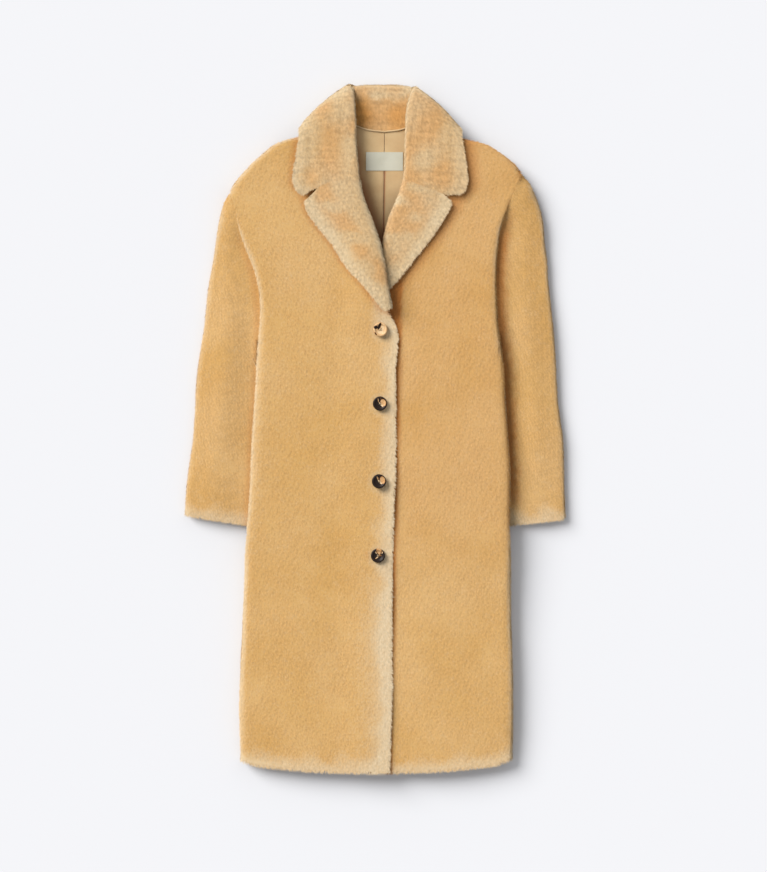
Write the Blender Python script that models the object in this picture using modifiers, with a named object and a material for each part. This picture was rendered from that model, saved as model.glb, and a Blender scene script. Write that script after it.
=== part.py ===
"""Faux shearling coat, laid flat on its back with its front up: walls of cloth, a label and buttons.

Sizes are in millimetres until a mesh is written. x runs to the wearer's left, "up" is the height
above the hem line towards the collar, and z is the height above the surface that the coat lies on.
Left and right are the wearer's. Each piece of cloth is a grid of points in the middle of its wall.
"""

import math

import bpy
import numpy as np

MM = 0.001
MIDDLE = (-0.4, 603.7)  # of the whole coat, x and up: the length is 1209 with its pile
WALL = 8.0  # backing and pile, pressed
SEAM = 0.3  # between pieces that are sewn together
PILE = 2.0  # loose pile past the wall, which the finish adds
ON_FLOOR = WALL / 2
INSET = WALL / 2 + PILE  # outline to the middle of a wall that turns over there

SIDE_ROLL = 12.0  # how far in a side edge starts to turn down
EDGE_STRIP = 1.5  # straight start of a wall at a seam, so that two walls meet squarely
CORNER_GAP = 1.6  # more room at the underarm and the shoulder point, where the walls twist
NECK_GAP = 1.9  # between the fronts and the collar's stand
LOFT = 2.4  # air between a panel and what is folded over it
TUCK_LIFT = 18.7  # the back rides this high over the tucked part of a sleeve
TUCK_REACH = (66.0, 140.0)  # from the side edge: lifted all the way, and not at all
NECK_LIFT = 12.5  # the back rides this high over the fall of the collar
NECK_SPREAD = (150.0, 230.0)  # from the neck's centre: lifted all the way, and not at all
OVERLAP_RISE = 4.7  # the over front climbs onto the under front
UNDER_DIP = 5.0
LAPEL_RISE = 11.5  # the over front climbs again where the under lapel passes below it
ARMHOLE_TURN = 45.0  # how far from its ends an armhole opens fully
NECK_CENTRE = (17.5, 1123.5)  # x, up
NECK_HALF = 81.0  # half the back neck's width
NECK_RISE = 27.0  # from its middle to its ends

# The coat's outline on each side: side seam, armhole, shoulder.
EDGE = {
    "right": (
        # up, x
        (0, -235), (130, -235), (300, -230), (430, -224), (620, -213), (735, -206), (793, -203),
        (840, -206), (877, -213), (915, -227), (952, -240), (985, -249), (1020, -254), (1038, -244),
        (1055, -230), (1073, -213), (1090, -192), (1106, -164), (1112, -138), (1118, -110), (1132, -86),
        (1153, -66),
    ),
    "left": (
        (0, 239), (130, 239), (300, 237), (430, 236), (502, 236), (620, 231), (735, 222), (793, 215),
        (840, 213), (877, 213), (915, 215), (952, 221), (985, 234), (1020, 249), (1053, 257), (1073, 239),
        (1090, 216), (1106, 184), (1112, 158), (1118, 132), (1132, 112), (1153, 97),
    ),
}

# The inner edge of each front's wall: centre-front edge, lapel roll line, neck seam.
INNER = {
    "right": (
        # up, x
        (0, 25), (130, 29), (285, 29), (455, 32), (523, 35), (700, 35), (785, 34), (806, 23), (816, 21),
        (852, 15), (888, 8.5), (926, -0.5), (962, -13), (993, -24), (1015, -31), (1032, -37), (1045, -43),
        (1076, -46), (1104, -53), (1129, -59), (1148, -64),
    ),
    "left": (
        (0, -11), (400, -11), (800, -11), (815, -7), (828, -1), (856, 4.5), (893, 15), (930, 26), (965, 35.5),
        (995, 47.5), (1016, 56), (1035, 62.5), (1050, 68.5), (1076, 73.5), (1104, 81), (1129, 90), (1148, 96),
    ),
}

# Height of the fronts over the surface, in the middle of a front and near its side edge.
FRONT_HEIGHT = (
    # up, middle, side
    (0, 27, 20), (60, 29, 20), (200, 33, 22), (330, 37, 26), (430, 40, 40), (480, 41, 41.7), (620, 42, 41.7),
    (735, 41, 41.5), (800, 39, 40), (880, 37, 38), (960, 35, 36), (1040, 33, 33), (1090, 31, 31), (1150, 30, 30),
)

# What each sleeve looks like from above: its outer edge.
SLEEVE_EDGE = {
    "right": (
        # up, x
        (425, -337), (457, -336), (513, -332), (583, -323), (653, -316), (723, -309), (793, -300),
        (863, -291), (898, -286), (933, -281), (968, -274), (1003, -263), (1020, -255),
    ),
    "left": (
        (425, 336), (460, 335), (513, 333), (583, 330), (653, 323), (723, 318), (793, 312), (828, 309),
        (863, 307), (898, 304), (933, 298), (968, 295), (1003, 286), (1020, 279), (1038, 270), (1053, 258),
    ),
}
ARMHOLE = {"right": (749.0, 1020.0), "left": (757.0, 1053.0)}  # underarm, shoulder point

# Rings of a sleeve from the armhole to the cuff. "tuck" is how far its inner edge lies under the body.
SLEEVE_RINGS = {
    "right": (
        # outer up, inner up, tuck, crown, own shape
        (1014, 755, 0, 38, 0), (1000, 756, -10, 38, 0.15), (978, 740, -11, 36, 0.6), (942, 716, -8, 34, 0.9),
        (893, 692, 8, 34, 1), (825, 662, 36, 35, 1), (755, 628, 52, 35, 1), (690, 585, 57, 34, 1),
        (625, 540, 57, 33, 1), (565, 497, 55, 31, 1), (505, 458, 53, 28, 1), (453, 428, 51, 23, 1),
    ),
    "left": (
        (1047, 763, 0, 38, 0), (1033, 764, -10, 38, 0.15), (1010, 746, -11, 36, 0.6), (966, 719, -8, 33, 0.9),
        (905, 694, 8, 33, 1), (832, 664, 32, 34, 1), (760, 628, 46, 34, 1), (690, 585, 52, 33, 1),
        (620, 540, 54, 32, 1), (555, 497, 55, 30, 1), (500, 460, 55, 27, 1), (446, 430, 55, 23, 1),
    ),
}
SLEEVE_ROLL = (12.0, 5.5)  # outer and inner edge
HOLE_TRIM = 8.0  # the sleeve's head ends this far short of the underarm and the shoulder point
SLEEVE_EDGE_TOP = 24.0  # the upper wall just inside its outer edge
FLAT_TOP = 14.0  # the upper wall where the body lies on it

# Lapel facings from the break up to the gorge: the roll line, and the outer edge with its tip.
LAPEL = {
    "right": (
        # roll x, roll up, edge x, edge up, bow
        (33, 816, 16, 812, 0), (27, 852, -20, 857, 0), (20.5, 888, -47, 886, 0), (11.5, 926, -74, 928, 0),
        (-1, 962, -100, 960, 1), (-11.5, 993, -115, 981, 4), (-18, 1015, -120.5, 997, 9),
        (-22, 1032, -117, 1004, 15),
    ),
    "left": (
        (-14, 826, 2, 830, 0), (-8, 856, 32, 856, 0), (2, 893, 62, 893, 0), (13, 930, 91, 930, 0),
        (22, 965, 114, 962, 0), (34, 995, 129, 988, 0), (42.5, 1016, 132, 999, 4), (48.5, 1033, 124, 1007, 7),
    ),
}

# The collar from the centre back round to its front ends: neck seam, roll and outer edge. "turn" goes
# from 0, where the fall lies under the back, to 1, where it lies on the front.
COLLAR = {
    "right": (
        # neck x, roll x, roll up, edge x, edge up, turn, bow, neck up
        (17.5, 17.5, 1202, 17.5, 1096, 0, 0, 1123.5), (-12, -12, 1202, -26, 1097, 0, 0, 1127),
        (-36, -29, 1200, -70, 1103, 0.04, 0, 1135.5), (-53, -36, 1198, -110, 1117, 0.22, 0, 1145),
        (-63, -38, 1194, -127, 1128, 0.5, 0, 1152), (-62, -37, 1184, -129, 1119, 0.78, 0, 1145),
        (-57, -35.5, 1162, -131.5, 1102, 0.96, 0, 1129), (-52, -34.5, 1128, -135, 1080, 1, 0, 1106),
        (-47, -33.5, 1093, -139, 1056, 1, 0, 1080), (-45, -32, 1066, -140.5, 1037, 1, 2, 1060),
        (-44, -30.5, 1050, -134, 1020, 1, 8, 1049), (-43, -29.5, 1042, -123, 1013, 1, 14, 1042),
    ),
    "left": (
        (17.5, 17.5, 1202, 17.5, 1096, 0, 0, 1123.5), (45, 43, 1202, 59, 1097, 0, 0, 1127),
        (69, 55, 1200, 99, 1103, 0.04, 0, 1135.5), (86, 61.5, 1196, 132, 1117, 0.22, 0, 1145),
        (96, 63.5, 1191, 148, 1127, 0.5, 0, 1152), (95, 62, 1181, 149.5, 1117, 0.78, 0, 1145),
        (89.5, 58.5, 1160, 152.5, 1100, 0.96, 0, 1129), (82, 57, 1127, 156, 1080, 1, 0, 1106),
        (75, 56, 1094, 159.5, 1056, 1, 0, 1080), (71, 55.5, 1068, 161, 1037, 1, 0, 1062),
        (68.5, 54.5, 1054, 156, 1021, 1, 0, 1052), (67.5, 53.5, 1047, 146, 1013, 1, -1, 1046),
    ),
}
COLLAR_TURN = 6.25  # radius of the wall where it rolls over

BUTTONS = ((10.3, 775.6), (9.6, 646.3), (7.9, 510.7), (6.1, 381.0))  # x, up
BUTTON_RADIUS = 12.5
BUTTON_THICK = 5.0
BUTTON_LIFT = 1.4
LABEL_X = (-14.9, 49.7)
LABEL_UP = (1054.4, 1086.8)
LABEL_THICK = 0.8
LABEL_LIFT = 0.5

ROWS = (
    0, 60, 130, 200, 270, 335, 375, 405, 430, 465, 520, 580, 640, 690, 728, 749, 762, 780, 801, 813,
    832, 860, 890, 920, 950, 980, 1004, 1026, 1043, 1062, 1082, 1102, 1122, 1142,
)
SIGN = {"right": -1.0, "left": 1.0}

CLOTH = ("plush", (0.60, 0.38, 0.16, 1.0), 0.95)
COLLAR_CLOTH = ("plush_light", (0.68, 0.47, 0.24, 1.0), 0.95)
LABEL_CLOTH = ("label_satin", (0.72, 0.72, 0.62, 1.0), 0.6)
HORN = ("mock_horn", (0.09, 0.05, 0.03, 1.0), 0.25)


def ease(low, high, value):
    """0 at low, 1 at high, with no slope at either."""
    part = np.clip((np.asarray(value, float) - low) / (high - low), 0.0, 1.0)
    return part * part * (3 - 2 * part)


def turned(part):
    """A quarter circle's rise: 0 with an upright tangent at 0, 1 with a level one from 1 on."""
    return np.sqrt(1 - (1 - np.clip(part, 0.0, 1.0)) ** 2)


def through(rows, at, column=1):
    """Smooth curve through a table's rows: cubic pieces, each slope taken from the rows beside it."""
    table = np.asarray(rows, float)
    knots, values = table[:, 0], table[:, column]
    slopes = np.gradient(values, knots)
    at = np.asarray(at, float)
    i = np.clip(np.searchsorted(knots, at, side="right") - 1, 0, len(knots) - 2)
    span = knots[i + 1] - knots[i]
    t = np.clip((at - knots[i]) / span, 0.0, 1.0)
    bend = slopes[i] * t * (1 - t) ** 2 - slopes[i + 1] * t * t * (1 - t)
    return values[i] + (values[i + 1] - values[i]) * t * t * (3 - 2 * t) + span * bend


def between(rows, steps):
    """A table's rows with others worked out between them, `steps` to a row."""
    table = np.array(rows, float)
    station = np.arange(len(table), dtype=float)
    fine = np.arange((len(table) - 1) * steps + 1) / steps
    columns = [through(np.column_stack([station, column]), fine) for column in table.T]
    return np.column_stack(columns)


def moved_in(rows, side):
    """The outline moved in by INSET, along its normals, as (ups, xs)."""
    up = np.linspace(rows[0][0], rows[-1][0], 400)
    x = through(rows, up)
    dx, dup = np.gradient(x), np.gradient(up)
    length = np.hypot(dx, dup)
    inner_up = up + SIGN[side] * dx / length * INSET
    return np.maximum.accumulate(inner_up), x - SIGN[side] * dup / length * INSET


BODY_LINE = {side: moved_in(EDGE[side], side) for side in EDGE}
SLEEVE_LINE = {side: moved_in(SLEEVE_EDGE[side], side) for side in SLEEVE_EDGE}


def body_line(side, up):
    return np.interp(up, *BODY_LINE[side])


def sleeve_line(side, up):
    return np.interp(up, *SLEEVE_LINE[side])


def hem_drop(x):
    """How far the hem curves up towards the side seams."""
    return PILE + 13.0 * (np.abs(x) / 215.0) ** 2.2


def from_edge(side, x, up):
    """Distance of a point in from the body's outline."""
    return SIGN[side] * (through(EDGE[side], up) - x)


def back_height(side, x, up):
    over_sleeve = ease(345, 418, up) * (1 - ease(716, 758, up))
    over_sleeve = over_sleeve * (1 - ease(*TUCK_REACH, from_edge(side, x, up)))
    over_collar = ease(960, 1045, up) * (1 - ease(*NECK_SPREAD, np.abs(x - NECK_CENTRE[0])))
    return ON_FLOOR + TUCK_LIFT * over_sleeve + NECK_LIFT * over_collar


def front_height(side, x, up):
    middle, edge = through(FRONT_HEIGHT, up), through(FRONT_HEIGHT, up, 2)
    height = edge + (middle - edge) * ease(0, 110, from_edge(side, x, up))
    if side == "left":
        return height - UNDER_DIP * ease(95, 35, x)
    from_inner = through(INNER["right"], up) - x
    climb = ease(770, 835, up) * (1 - ease(1010, 1110, up)) * ease(80, 12, from_inner)
    return height + OVERLAP_RISE * ease(-75, -15, x) * (1 - ease(900, 1000, up)) + LAPEL_RISE * climb


def armhole_open(side, up, trim=0.0):
    """1 along an armhole, turning to 0 at the underarm and the shoulder point, as an ellipse does."""
    low, high = ARMHOLE[side]
    return turned((up - low - trim) / ARMHOLE_TURN) * turned((high - trim - up) / ARMHOLE_TURN)


def side_seam_height(side, up):
    x = body_line(side, up)
    return (back_height(side, x, up) + front_height(side, x, up)) / 2


def across(width, roll, flat_steps):
    """Distances in from an edge, a row of them for each width: at the seam, round the turn, then evenly."""
    width = np.asarray(width, float)[:, None]
    roll = np.minimum(roll, 0.55 * width)
    round_part = roll * np.array([0.0, 0.0, 1 - math.cos(math.pi / 4)])
    return np.concatenate([round_part, roll + (width - roll) * np.linspace(0, 1, flat_steps + 1)], axis=1), roll


def turn_down(side, distance, roll, up):
    """Share of the height between seam and panel that is reached at a distance in from the edge."""
    opened = armhole_open(side, up)
    start = roll * (1 - np.sqrt(1 - opened**2))
    return turned((distance + start) / roll)


def panel_grid(side, up, inner_x, outer_x, height, seam_gap):
    """Rows from hem to neck. Each runs from the side edge, round the turn, to the inner edge."""
    distance, roll = across(np.abs(outer_x - inner_x), SIDE_ROLL, 5)
    up = up[:, None] + np.zeros_like(distance)
    x = outer_x[:, None] - SIGN[side] * distance
    opened = armhole_open(side, up)
    toward = np.sign(seam_gap)
    strip = toward * EDGE_STRIP * np.sqrt(1 - opened**2)
    low, high = ARMHOLE[side]
    twist = np.exp(-(((up - low) / 14) ** 2)) + np.exp(-(((up - high) / 14) ** 2))
    corner = toward * CORNER_GAP * (twist + 3 * opened * (1 - opened))
    seam = side_seam_height(side, up) + seam_gap + corner + strip
    z = seam + (height(side, x, up) - seam) * turn_down(side, distance, roll, up)
    x[:, 0] += SIGN[side] * EDGE_STRIP * opened[:, 0]
    z[:, 0] -= strip[:, 0]
    return x, up, z


def front_grid(side):
    up = np.array(ROWS, float)
    x, up, z = panel_grid(side, up, through(INNER[side], up), body_line(side, up), front_height, SEAM / 2)
    up = up + hem_drop(x) * (1 - ease(0, 160, up))
    return np.stack([x, up, z], axis=-1)


def back_grid(side):
    """As a front, but the rows near the neck bend to follow its seam."""
    up = np.array(ROWS, float)
    centre = 3.0 + 14.5 * up / NECK_CENTRE[1] + SIGN[side] * SEAM / 2
    outer = body_line(side, up)
    x, up, z = panel_grid(side, up, centre, outer, back_height, -SEAM / 2)
    part = np.abs((x - NECK_CENTRE[0]) / NECK_HALF)
    top = NECK_CENTRE[1] + NECK_RISE * part**2 - 1.0
    up = up - (ROWS[-1] - top) * ease(860, ROWS[-1], up) * ease(1.05, 0.75, part)
    up = up + hem_drop(x) * (1 - ease(0, 160, up))
    return np.stack([x, up, z], axis=-1)


def sleeve_top(side, x, up, crown):
    """Height of a sleeve's upper wall: low by its outer edge, domed, flat where the body lies on it."""
    inside = SIGN[side] * (through(SLEEVE_EDGE[side], up) - x)
    outside_body = -from_edge(side, x, up)
    valley = FLAT_TOP + 18.0 * ease(ARMHOLE[side][0], ARMHOLE[side][0] + 150, up)
    domed = SLEEVE_EDGE_TOP + (crown - SLEEVE_EDGE_TOP) * ease(0, 50, inside)
    return valley + (domed - valley) * ease(-4, 55, outside_body)


def sleeve_grid(side):
    """Rings from the armhole to the cuff, each from the outer edge over the top to the inner edge and back."""
    low, high = ARMHOLE[side]
    sign = SIGN[side]
    rings = []
    for outer_up, inner_up, tuck, crown, own in SLEEVE_RINGS[side]:
        roll_out = SLEEVE_ROLL[0] + (ARMHOLE_TURN - SLEEVE_ROLL[0]) * (1 - own)
        roll_in = SLEEVE_ROLL[1] + (ARMHOLE_TURN - SLEEVE_ROLL[1]) * (1 - own)
        start = np.array([sleeve_line(side, outer_up), outer_up])
        end = np.array([through(EDGE[side], inner_up) - sign * tuck, inner_up])
        length = np.linalg.norm(end - start)
        turn = 1 - np.cos(np.linspace(0, math.pi / 2, 4))
        walk = np.concatenate([roll_out * turn, np.linspace(roll_out, length - roll_in, 6)[1:-1],
                               length - roll_in * turn[::-1]])
        part = walk / length
        hole_up = high - HOLE_TRIM - part * (high - low - 2 * HOLE_TRIM)
        opened = armhole_open(side, hole_up, HOLE_TRIM)
        hole_x = body_line(side, hole_up) + sign * (SEAM + EDGE_STRIP + 1.0 + 7.0 * (1 - opened))
        hole_seam = side_seam_height(side, hole_up)
        chord = np.outer(1 - part, start) + np.outer(part, end)
        hole = np.stack([hole_x, hole_up], axis=-1)
        bend = hole - np.outer(1 - part, hole[0]) - np.outer(part, hole[-1])
        plan = hole if own == 0 else chord + bend * (1 - own)
        x, up = plan[:, 0], plan[:, 1]
        shut = turned(walk / roll_out) * turned((length - walk) / roll_in)
        seam = np.where(part < 0.5, (SLEEVE_EDGE_TOP + ON_FLOOR) / 2, (FLAT_TOP + ON_FLOOR) / 2)
        upper = seam + (sleeve_top(side, x, up, crown) - seam) * shut
        lower = seam + (ON_FLOOR - seam) * shut
        hole_upper = hole_seam + (front_height(side, hole_x, hole_up) - hole_seam) * opened
        hole_lower = hole_seam + (back_height(side, hole_x, hole_up) - hole_seam) * opened
        upper = hole_upper + (upper - hole_upper) * own
        lower = hole_lower + (lower - hole_lower) * own
        top = np.stack([x, up, upper], axis=-1)
        bottom = np.stack([x, up, lower], axis=-1)
        rings.append(np.concatenate([top, bottom[-2:0:-1]]))
    strip = rings[0] + np.array([sign * EDGE_STRIP, 0.0, 0.0])
    return np.array([rings[0], strip, *rings[1:]])


def lapel_grid(side):
    """Sections from the break to the gorge: a hook round the front's edge, then flat to the outer edge."""
    sign = SIGN[side]
    sections = []
    for roll_x, roll_up, edge_x, edge_up, bow in between(LAPEL[side], 2):
        start = np.array([roll_x + sign * INSET, roll_up])
        end = np.array([edge_x, edge_up])
        reach = np.linalg.norm(end - start)
        lip = min(9.0, 0.5 * reach)
        turn = np.linspace(0, math.pi / 2, 4)
        walk = np.concatenate([lip * (1 - np.cos(turn)), np.linspace(lip, reach, 6)[1:]])
        rise = np.concatenate([np.sin(turn), np.ones(5)])
        part = walk / reach
        x = start[0] + (end[0] - start[0]) * part
        up = start[1] + (end[1] - start[1]) * part + bow * np.sin(math.pi * part)
        low = front_height(side, x, up)
        sections.append(np.stack([x, up, low - 1.0 + (WALL + LOFT + 1.0) * rise], axis=-1))
    return np.array(sections)


def collar_half(side):
    """Sections from the centre back to the front end: stand up from the neck seam, roll over, fall."""
    rows = between(COLLAR[side], 2)
    rows = np.concatenate([rows[0:4:2], rows[4:13], rows[14::2]])
    sections = []
    for neck_x, roll_x, roll_up, edge_x, edge_up, turn, bow, neck_up in rows:
        neck_x = neck_x - SIGN[side] * NECK_GAP * turn
        neck, roll, edge = np.array([neck_x, neck_up]), np.array([roll_x, roll_up]), np.array([edge_x, edge_up])
        lean = (roll - neck) / np.linalg.norm(roll - neck)
        angle = math.pi * min(max(turn, 0.0), 1.0)
        along = (edge - roll) / np.linalg.norm(edge - roll)
        outward = np.array([along[1], -along[0]]) * SIGN[side] * -1.0
        out = np.array([*(outward * math.sin(angle)), -math.cos(angle)])
        raised = 1 - math.cos(angle)
        neck_z = ON_FLOOR + NECK_LIFT + (front_height(side, neck_x, neck_up) - ON_FLOOR - NECK_LIFT) * raised / 2
        before = np.array([*(roll - lean * COLLAR_TURN), neck_z])
        start = np.array([*neck, neck_z])
        stand = [start + (before - start) * t for t in (0.0, 0.5)]
        lean3 = np.array([*lean, 0.0])
        hinge = before + out * COLLAR_TURN
        arc = [hinge + COLLAR_TURN * (lean3 * math.sin(a) - out * math.cos(a)) for a in np.linspace(0, math.pi, 6)]
        begin = arc[-1]
        edge_z = ON_FLOOR + (front_height(side, edge_x, edge_up) + 2 * COLLAR_TURN - ON_FLOOR) * raised / 2
        finish = np.array([*edge, edge_z])
        fall = []
        for t in np.linspace(0, 1, 6)[1:]:
            point = begin + (finish - begin) * t
            point[1] += bow * math.sin(math.pi * t)
            bulge = 4 * t * (1 - t) * 5.0 * math.sin(angle)
            point[:2] += outward * bulge
            if turn > 0.9:
                resting = front_height(side, point[0], point[1]) + 2 * COLLAR_TURN
                point[2] += (resting - point[2]) * (turn - 0.9) * 10
            fall.append(point)
        sections.append(stand + arc + fall)
    return np.array(sections)


def collar_grid():
    right, left = collar_half("right"), collar_half("left")
    return np.concatenate([right[:0:-1], left])


def label_grid():
    x, up = np.meshgrid(np.linspace(*LABEL_X, 5), np.linspace(*LABEL_UP, 4))
    z = back_height("left", x, up) + WALL / 2 + LABEL_LIFT + LABEL_THICK / 2
    return np.stack([x, up, z], axis=-1)


def to_world(points):
    """Millimetres with up from the hem, to metres about the middle of the coat."""
    moved = np.array(points, float)
    moved[..., :2] -= MIDDLE
    return moved * MM


def material(recipe):
    name, colour, roughness = recipe
    made = bpy.data.materials.get(name) or bpy.data.materials.new(name)
    made.use_nodes = True
    shader = made.node_tree.nodes["Principled BSDF"]
    shader.inputs["Base Color"].default_value = colour
    shader.inputs["Roughness"].default_value = roughness
    shader.inputs["Metallic"].default_value = 0.0
    return made


def wall(name, grid, recipe, collection, thick=WALL, ring=False):
    """A node: the open surface through a grid of points, given its thickness half to each side."""
    rows, columns = grid.shape[:2]
    number = np.arange(rows * columns).reshape(rows, columns)
    if ring:
        number = np.concatenate([number, number[:, :1]], axis=1)
    corners = (number[:-1, :-1], number[:-1, 1:], number[1:, 1:], number[1:, :-1])
    faces = np.stack(corners, axis=-1).reshape(-1, 4)
    mesh = bpy.data.meshes.new(name)
    mesh.from_pydata(to_world(grid).reshape(-1, 3).tolist(), [], faces.tolist())
    mesh.materials.append(material(recipe))
    mesh.shade_smooth()
    piece = bpy.data.objects.new(name, mesh)
    collection.objects.link(piece)
    solid = piece.modifiers.new("thickness", "SOLIDIFY")
    solid.thickness = thick * MM
    solid.offset = 0.0
    solid.use_even_offset = False
    return piece


def button(name, x, up, collection):
    """A turned disc with a raised rim, seated on the over front."""
    half, rim = BUTTON_THICK / 2, 1.6
    profile = (
        (0.0, BUTTON_THICK - 1.4), (BUTTON_RADIUS - 4.0, BUTTON_THICK - 1.2), (BUTTON_RADIUS - 2.6, BUTTON_THICK),
        (BUTTON_RADIUS - rim + 0.4, BUTTON_THICK), (BUTTON_RADIUS, half + 0.6), (BUTTON_RADIUS - 0.6, 1.0),
        (BUTTON_RADIUS - 2.4, 0.0), (0.0, 0.0),
    )
    mesh = bpy.data.meshes.new(name)
    edges = [(i, i + 1) for i in range(len(profile) - 1)]
    mesh.from_pydata([(r * MM, 0.0, z * MM) for r, z in profile], edges, [])
    mesh.materials.append(material(HORN))
    piece = bpy.data.objects.new(name, mesh)
    collection.objects.link(piece)
    seat = front_height("right", x, up) + WALL / 2 + BUTTON_LIFT
    piece.location = to_world((x, up, float(seat)))
    turn = piece.modifiers.new("turned", "SCREW")
    turn.steps = turn.render_steps = 24
    turn.angle = math.tau
    turn.use_merge_vertices = True
    turn.merge_threshold = 0.00005
    turn.use_smooth_shade = True
    return piece


def clear_scene():
    for thing in list(bpy.data.objects):
        bpy.data.objects.remove(thing, do_unlink=True)


def build():
    clear_scene()
    coat = bpy.data.collections.new("faux_shearling_coat")
    bpy.context.scene.collection.children.link(coat)
    for side in ("right", "left"):
        wall(f"back_{side}", back_grid(side), CLOTH, coat)
        wall(f"front_{side}", front_grid(side), CLOTH, coat)
        wall(f"sleeve_{side}", sleeve_grid(side), CLOTH, coat, ring=True)
        wall(f"facing_{side}", lapel_grid(side), COLLAR_CLOTH, coat)
    wall("collar", collar_grid(), COLLAR_CLOTH, coat)
    wall("label", label_grid(), LABEL_CLOTH, coat, thick=LABEL_THICK)
    for number, (x, up) in enumerate(BUTTONS, 1):
        button(f"button_{number}", x, up, coat)


build()
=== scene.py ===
"""A long faux shearling coat laid flat on its back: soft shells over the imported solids, and a pile of fine blades.

Shapes are worked out in millimetres from the solids' named sizes, and written in metres. x runs to the wearer's
left, "up" from the hem to the collar, and z away from the surface that the coat lies on. Each piece of cloth is
a grid of points in the middle of its wall. Its two faces, its rim, its folds and its pile all start from it.
"""

import math

import bpy
import mathutils
import numpy as np
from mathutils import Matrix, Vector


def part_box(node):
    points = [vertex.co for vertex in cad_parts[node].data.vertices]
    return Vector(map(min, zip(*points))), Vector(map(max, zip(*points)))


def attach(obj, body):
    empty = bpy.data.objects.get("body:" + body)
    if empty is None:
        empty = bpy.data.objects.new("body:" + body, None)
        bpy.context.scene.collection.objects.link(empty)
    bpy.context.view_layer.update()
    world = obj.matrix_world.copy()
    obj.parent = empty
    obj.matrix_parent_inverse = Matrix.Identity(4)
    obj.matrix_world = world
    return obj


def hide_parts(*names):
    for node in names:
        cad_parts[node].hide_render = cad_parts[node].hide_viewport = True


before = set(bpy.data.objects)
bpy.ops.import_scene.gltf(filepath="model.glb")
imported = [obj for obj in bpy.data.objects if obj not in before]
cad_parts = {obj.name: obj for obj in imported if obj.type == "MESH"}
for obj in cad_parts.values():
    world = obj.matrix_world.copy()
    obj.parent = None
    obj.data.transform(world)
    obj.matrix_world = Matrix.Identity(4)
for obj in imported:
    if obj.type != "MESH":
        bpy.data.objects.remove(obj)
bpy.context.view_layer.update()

MM = 0.001
MIDDLE = (-0.4, 603.7)  # of the whole coat, x and up: the length is 1209 with its pile
WALL = 8.0  # backing and pile, pressed
SEAM = 0.3  # between pieces that are sewn together
PILE = 2.0  # loose pile past the wall, which the finish adds
ON_FLOOR = WALL / 2
INSET = WALL / 2 + PILE  # outline to the middle of a wall that turns over there

SIDE_ROLL = 7.0  # how far in a side edge starts to turn down
EDGE_STRIP = 1.5  # straight start of a wall at a seam, so that two walls meet squarely
NECK_GAP = 1.9  # between the fronts and the collar's stand
LOFT = 2.4  # air between a panel and what is folded over it
TUCK_LIFT = 18.7  # the back rides this high over the tucked part of a sleeve
TUCK_REACH = (66.0, 140.0)  # from the side edge: lifted all the way, and not at all
NECK_LIFT = 12.5  # the back rides this high over the fall of the collar
NECK_SPREAD = (150.0, 230.0)  # from the neck's centre: lifted all the way, and not at all
OVERLAP_RISE = 4.7  # the over front climbs onto the under front
UNDER_DIP = 3.0  # the under front sinks by the middle, where the over front lies on it
LAPEL_RISE = 11.5  # the over front climbs again where the under lapel passes below it
ARMHOLE_TURN = 45.0  # how far from its ends an armhole opens fully
NECK_CENTRE = (17.5, 1123.5)  # x, up
NECK_HALF = 81.0  # half the back neck's width
NECK_RISE = 27.0  # from its middle to its ends

# The coat's outline on each side: side seam, armhole, shoulder.
EDGE = {
    "right": (
        # up, x
        (0, -235), (130, -235), (300, -230), (430, -224), (620, -213), (735, -206), (793, -203),
        (840, -206), (877, -213), (915, -227), (952, -240), (985, -249), (1020, -254), (1038, -244),
        (1055, -230), (1073, -213), (1090, -192), (1106, -164), (1112, -138), (1118, -110), (1132, -86),
        (1153, -66),
    ),
    "left": (
        (0, 239), (130, 239), (300, 237), (430, 236), (502, 236), (620, 231), (735, 222), (793, 215),
        (840, 213), (877, 213), (915, 215), (952, 221), (985, 234), (1020, 249), (1053, 257), (1073, 239),
        (1090, 216), (1106, 184), (1112, 158), (1118, 132), (1132, 112), (1153, 97),
    ),
}

# The inner edge of each front's wall: centre-front edge, lapel roll line, neck seam.
INNER = {
    "right": (
        # up, x
        (0, 25), (130, 29), (285, 29), (455, 32), (523, 35), (700, 35), (785, 34), (806, 23), (816, 21),
        (852, 15), (888, 8.5), (926, -0.5), (962, -13), (993, -24), (1015, -31), (1032, -37), (1045, -43),
        (1076, -46), (1104, -53), (1129, -59), (1148, -64),
    ),
    "left": (
        (0, -11), (400, -11), (800, -11), (815, -7), (828, -1), (856, 4.5), (893, 15), (930, 26), (965, 35.5),
        (995, 47.5), (1016, 56), (1035, 62.5), (1050, 68.5), (1076, 73.5), (1104, 81), (1129, 90), (1148, 96),
    ),
}

# Height of the fronts over the surface, in the middle of a front and near its side edge.
FRONT_HEIGHT = (
    # up, middle, side
    (0, 27, 22), (60, 30, 27), (200, 34, 31), (330, 37, 34), (430, 40, 40), (480, 41, 41.7), (620, 42, 41.7),
    (735, 41, 41.5), (800, 39, 40), (880, 37, 38), (960, 35, 36), (1040, 33, 33), (1090, 31, 31), (1150, 30, 30),
)

# What each sleeve looks like from above: its outer edge.
SLEEVE_EDGE = {
    "right": (
        # up, x
        (425, -337), (457, -336), (513, -332), (583, -323), (653, -316), (723, -309), (793, -300),
        (863, -291), (898, -286), (933, -281), (968, -274), (1003, -263), (1020, -255),
    ),
    "left": (
        (425, 336), (460, 335), (513, 333), (583, 330), (653, 323), (723, 318), (793, 312), (828, 309),
        (863, 307), (898, 304), (933, 298), (968, 295), (1003, 286), (1020, 279), (1038, 270), (1053, 258),
    ),
}
ARMHOLE = {"right": (749.0, 1020.0), "left": (757.0, 1053.0)}  # underarm, shoulder point

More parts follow.
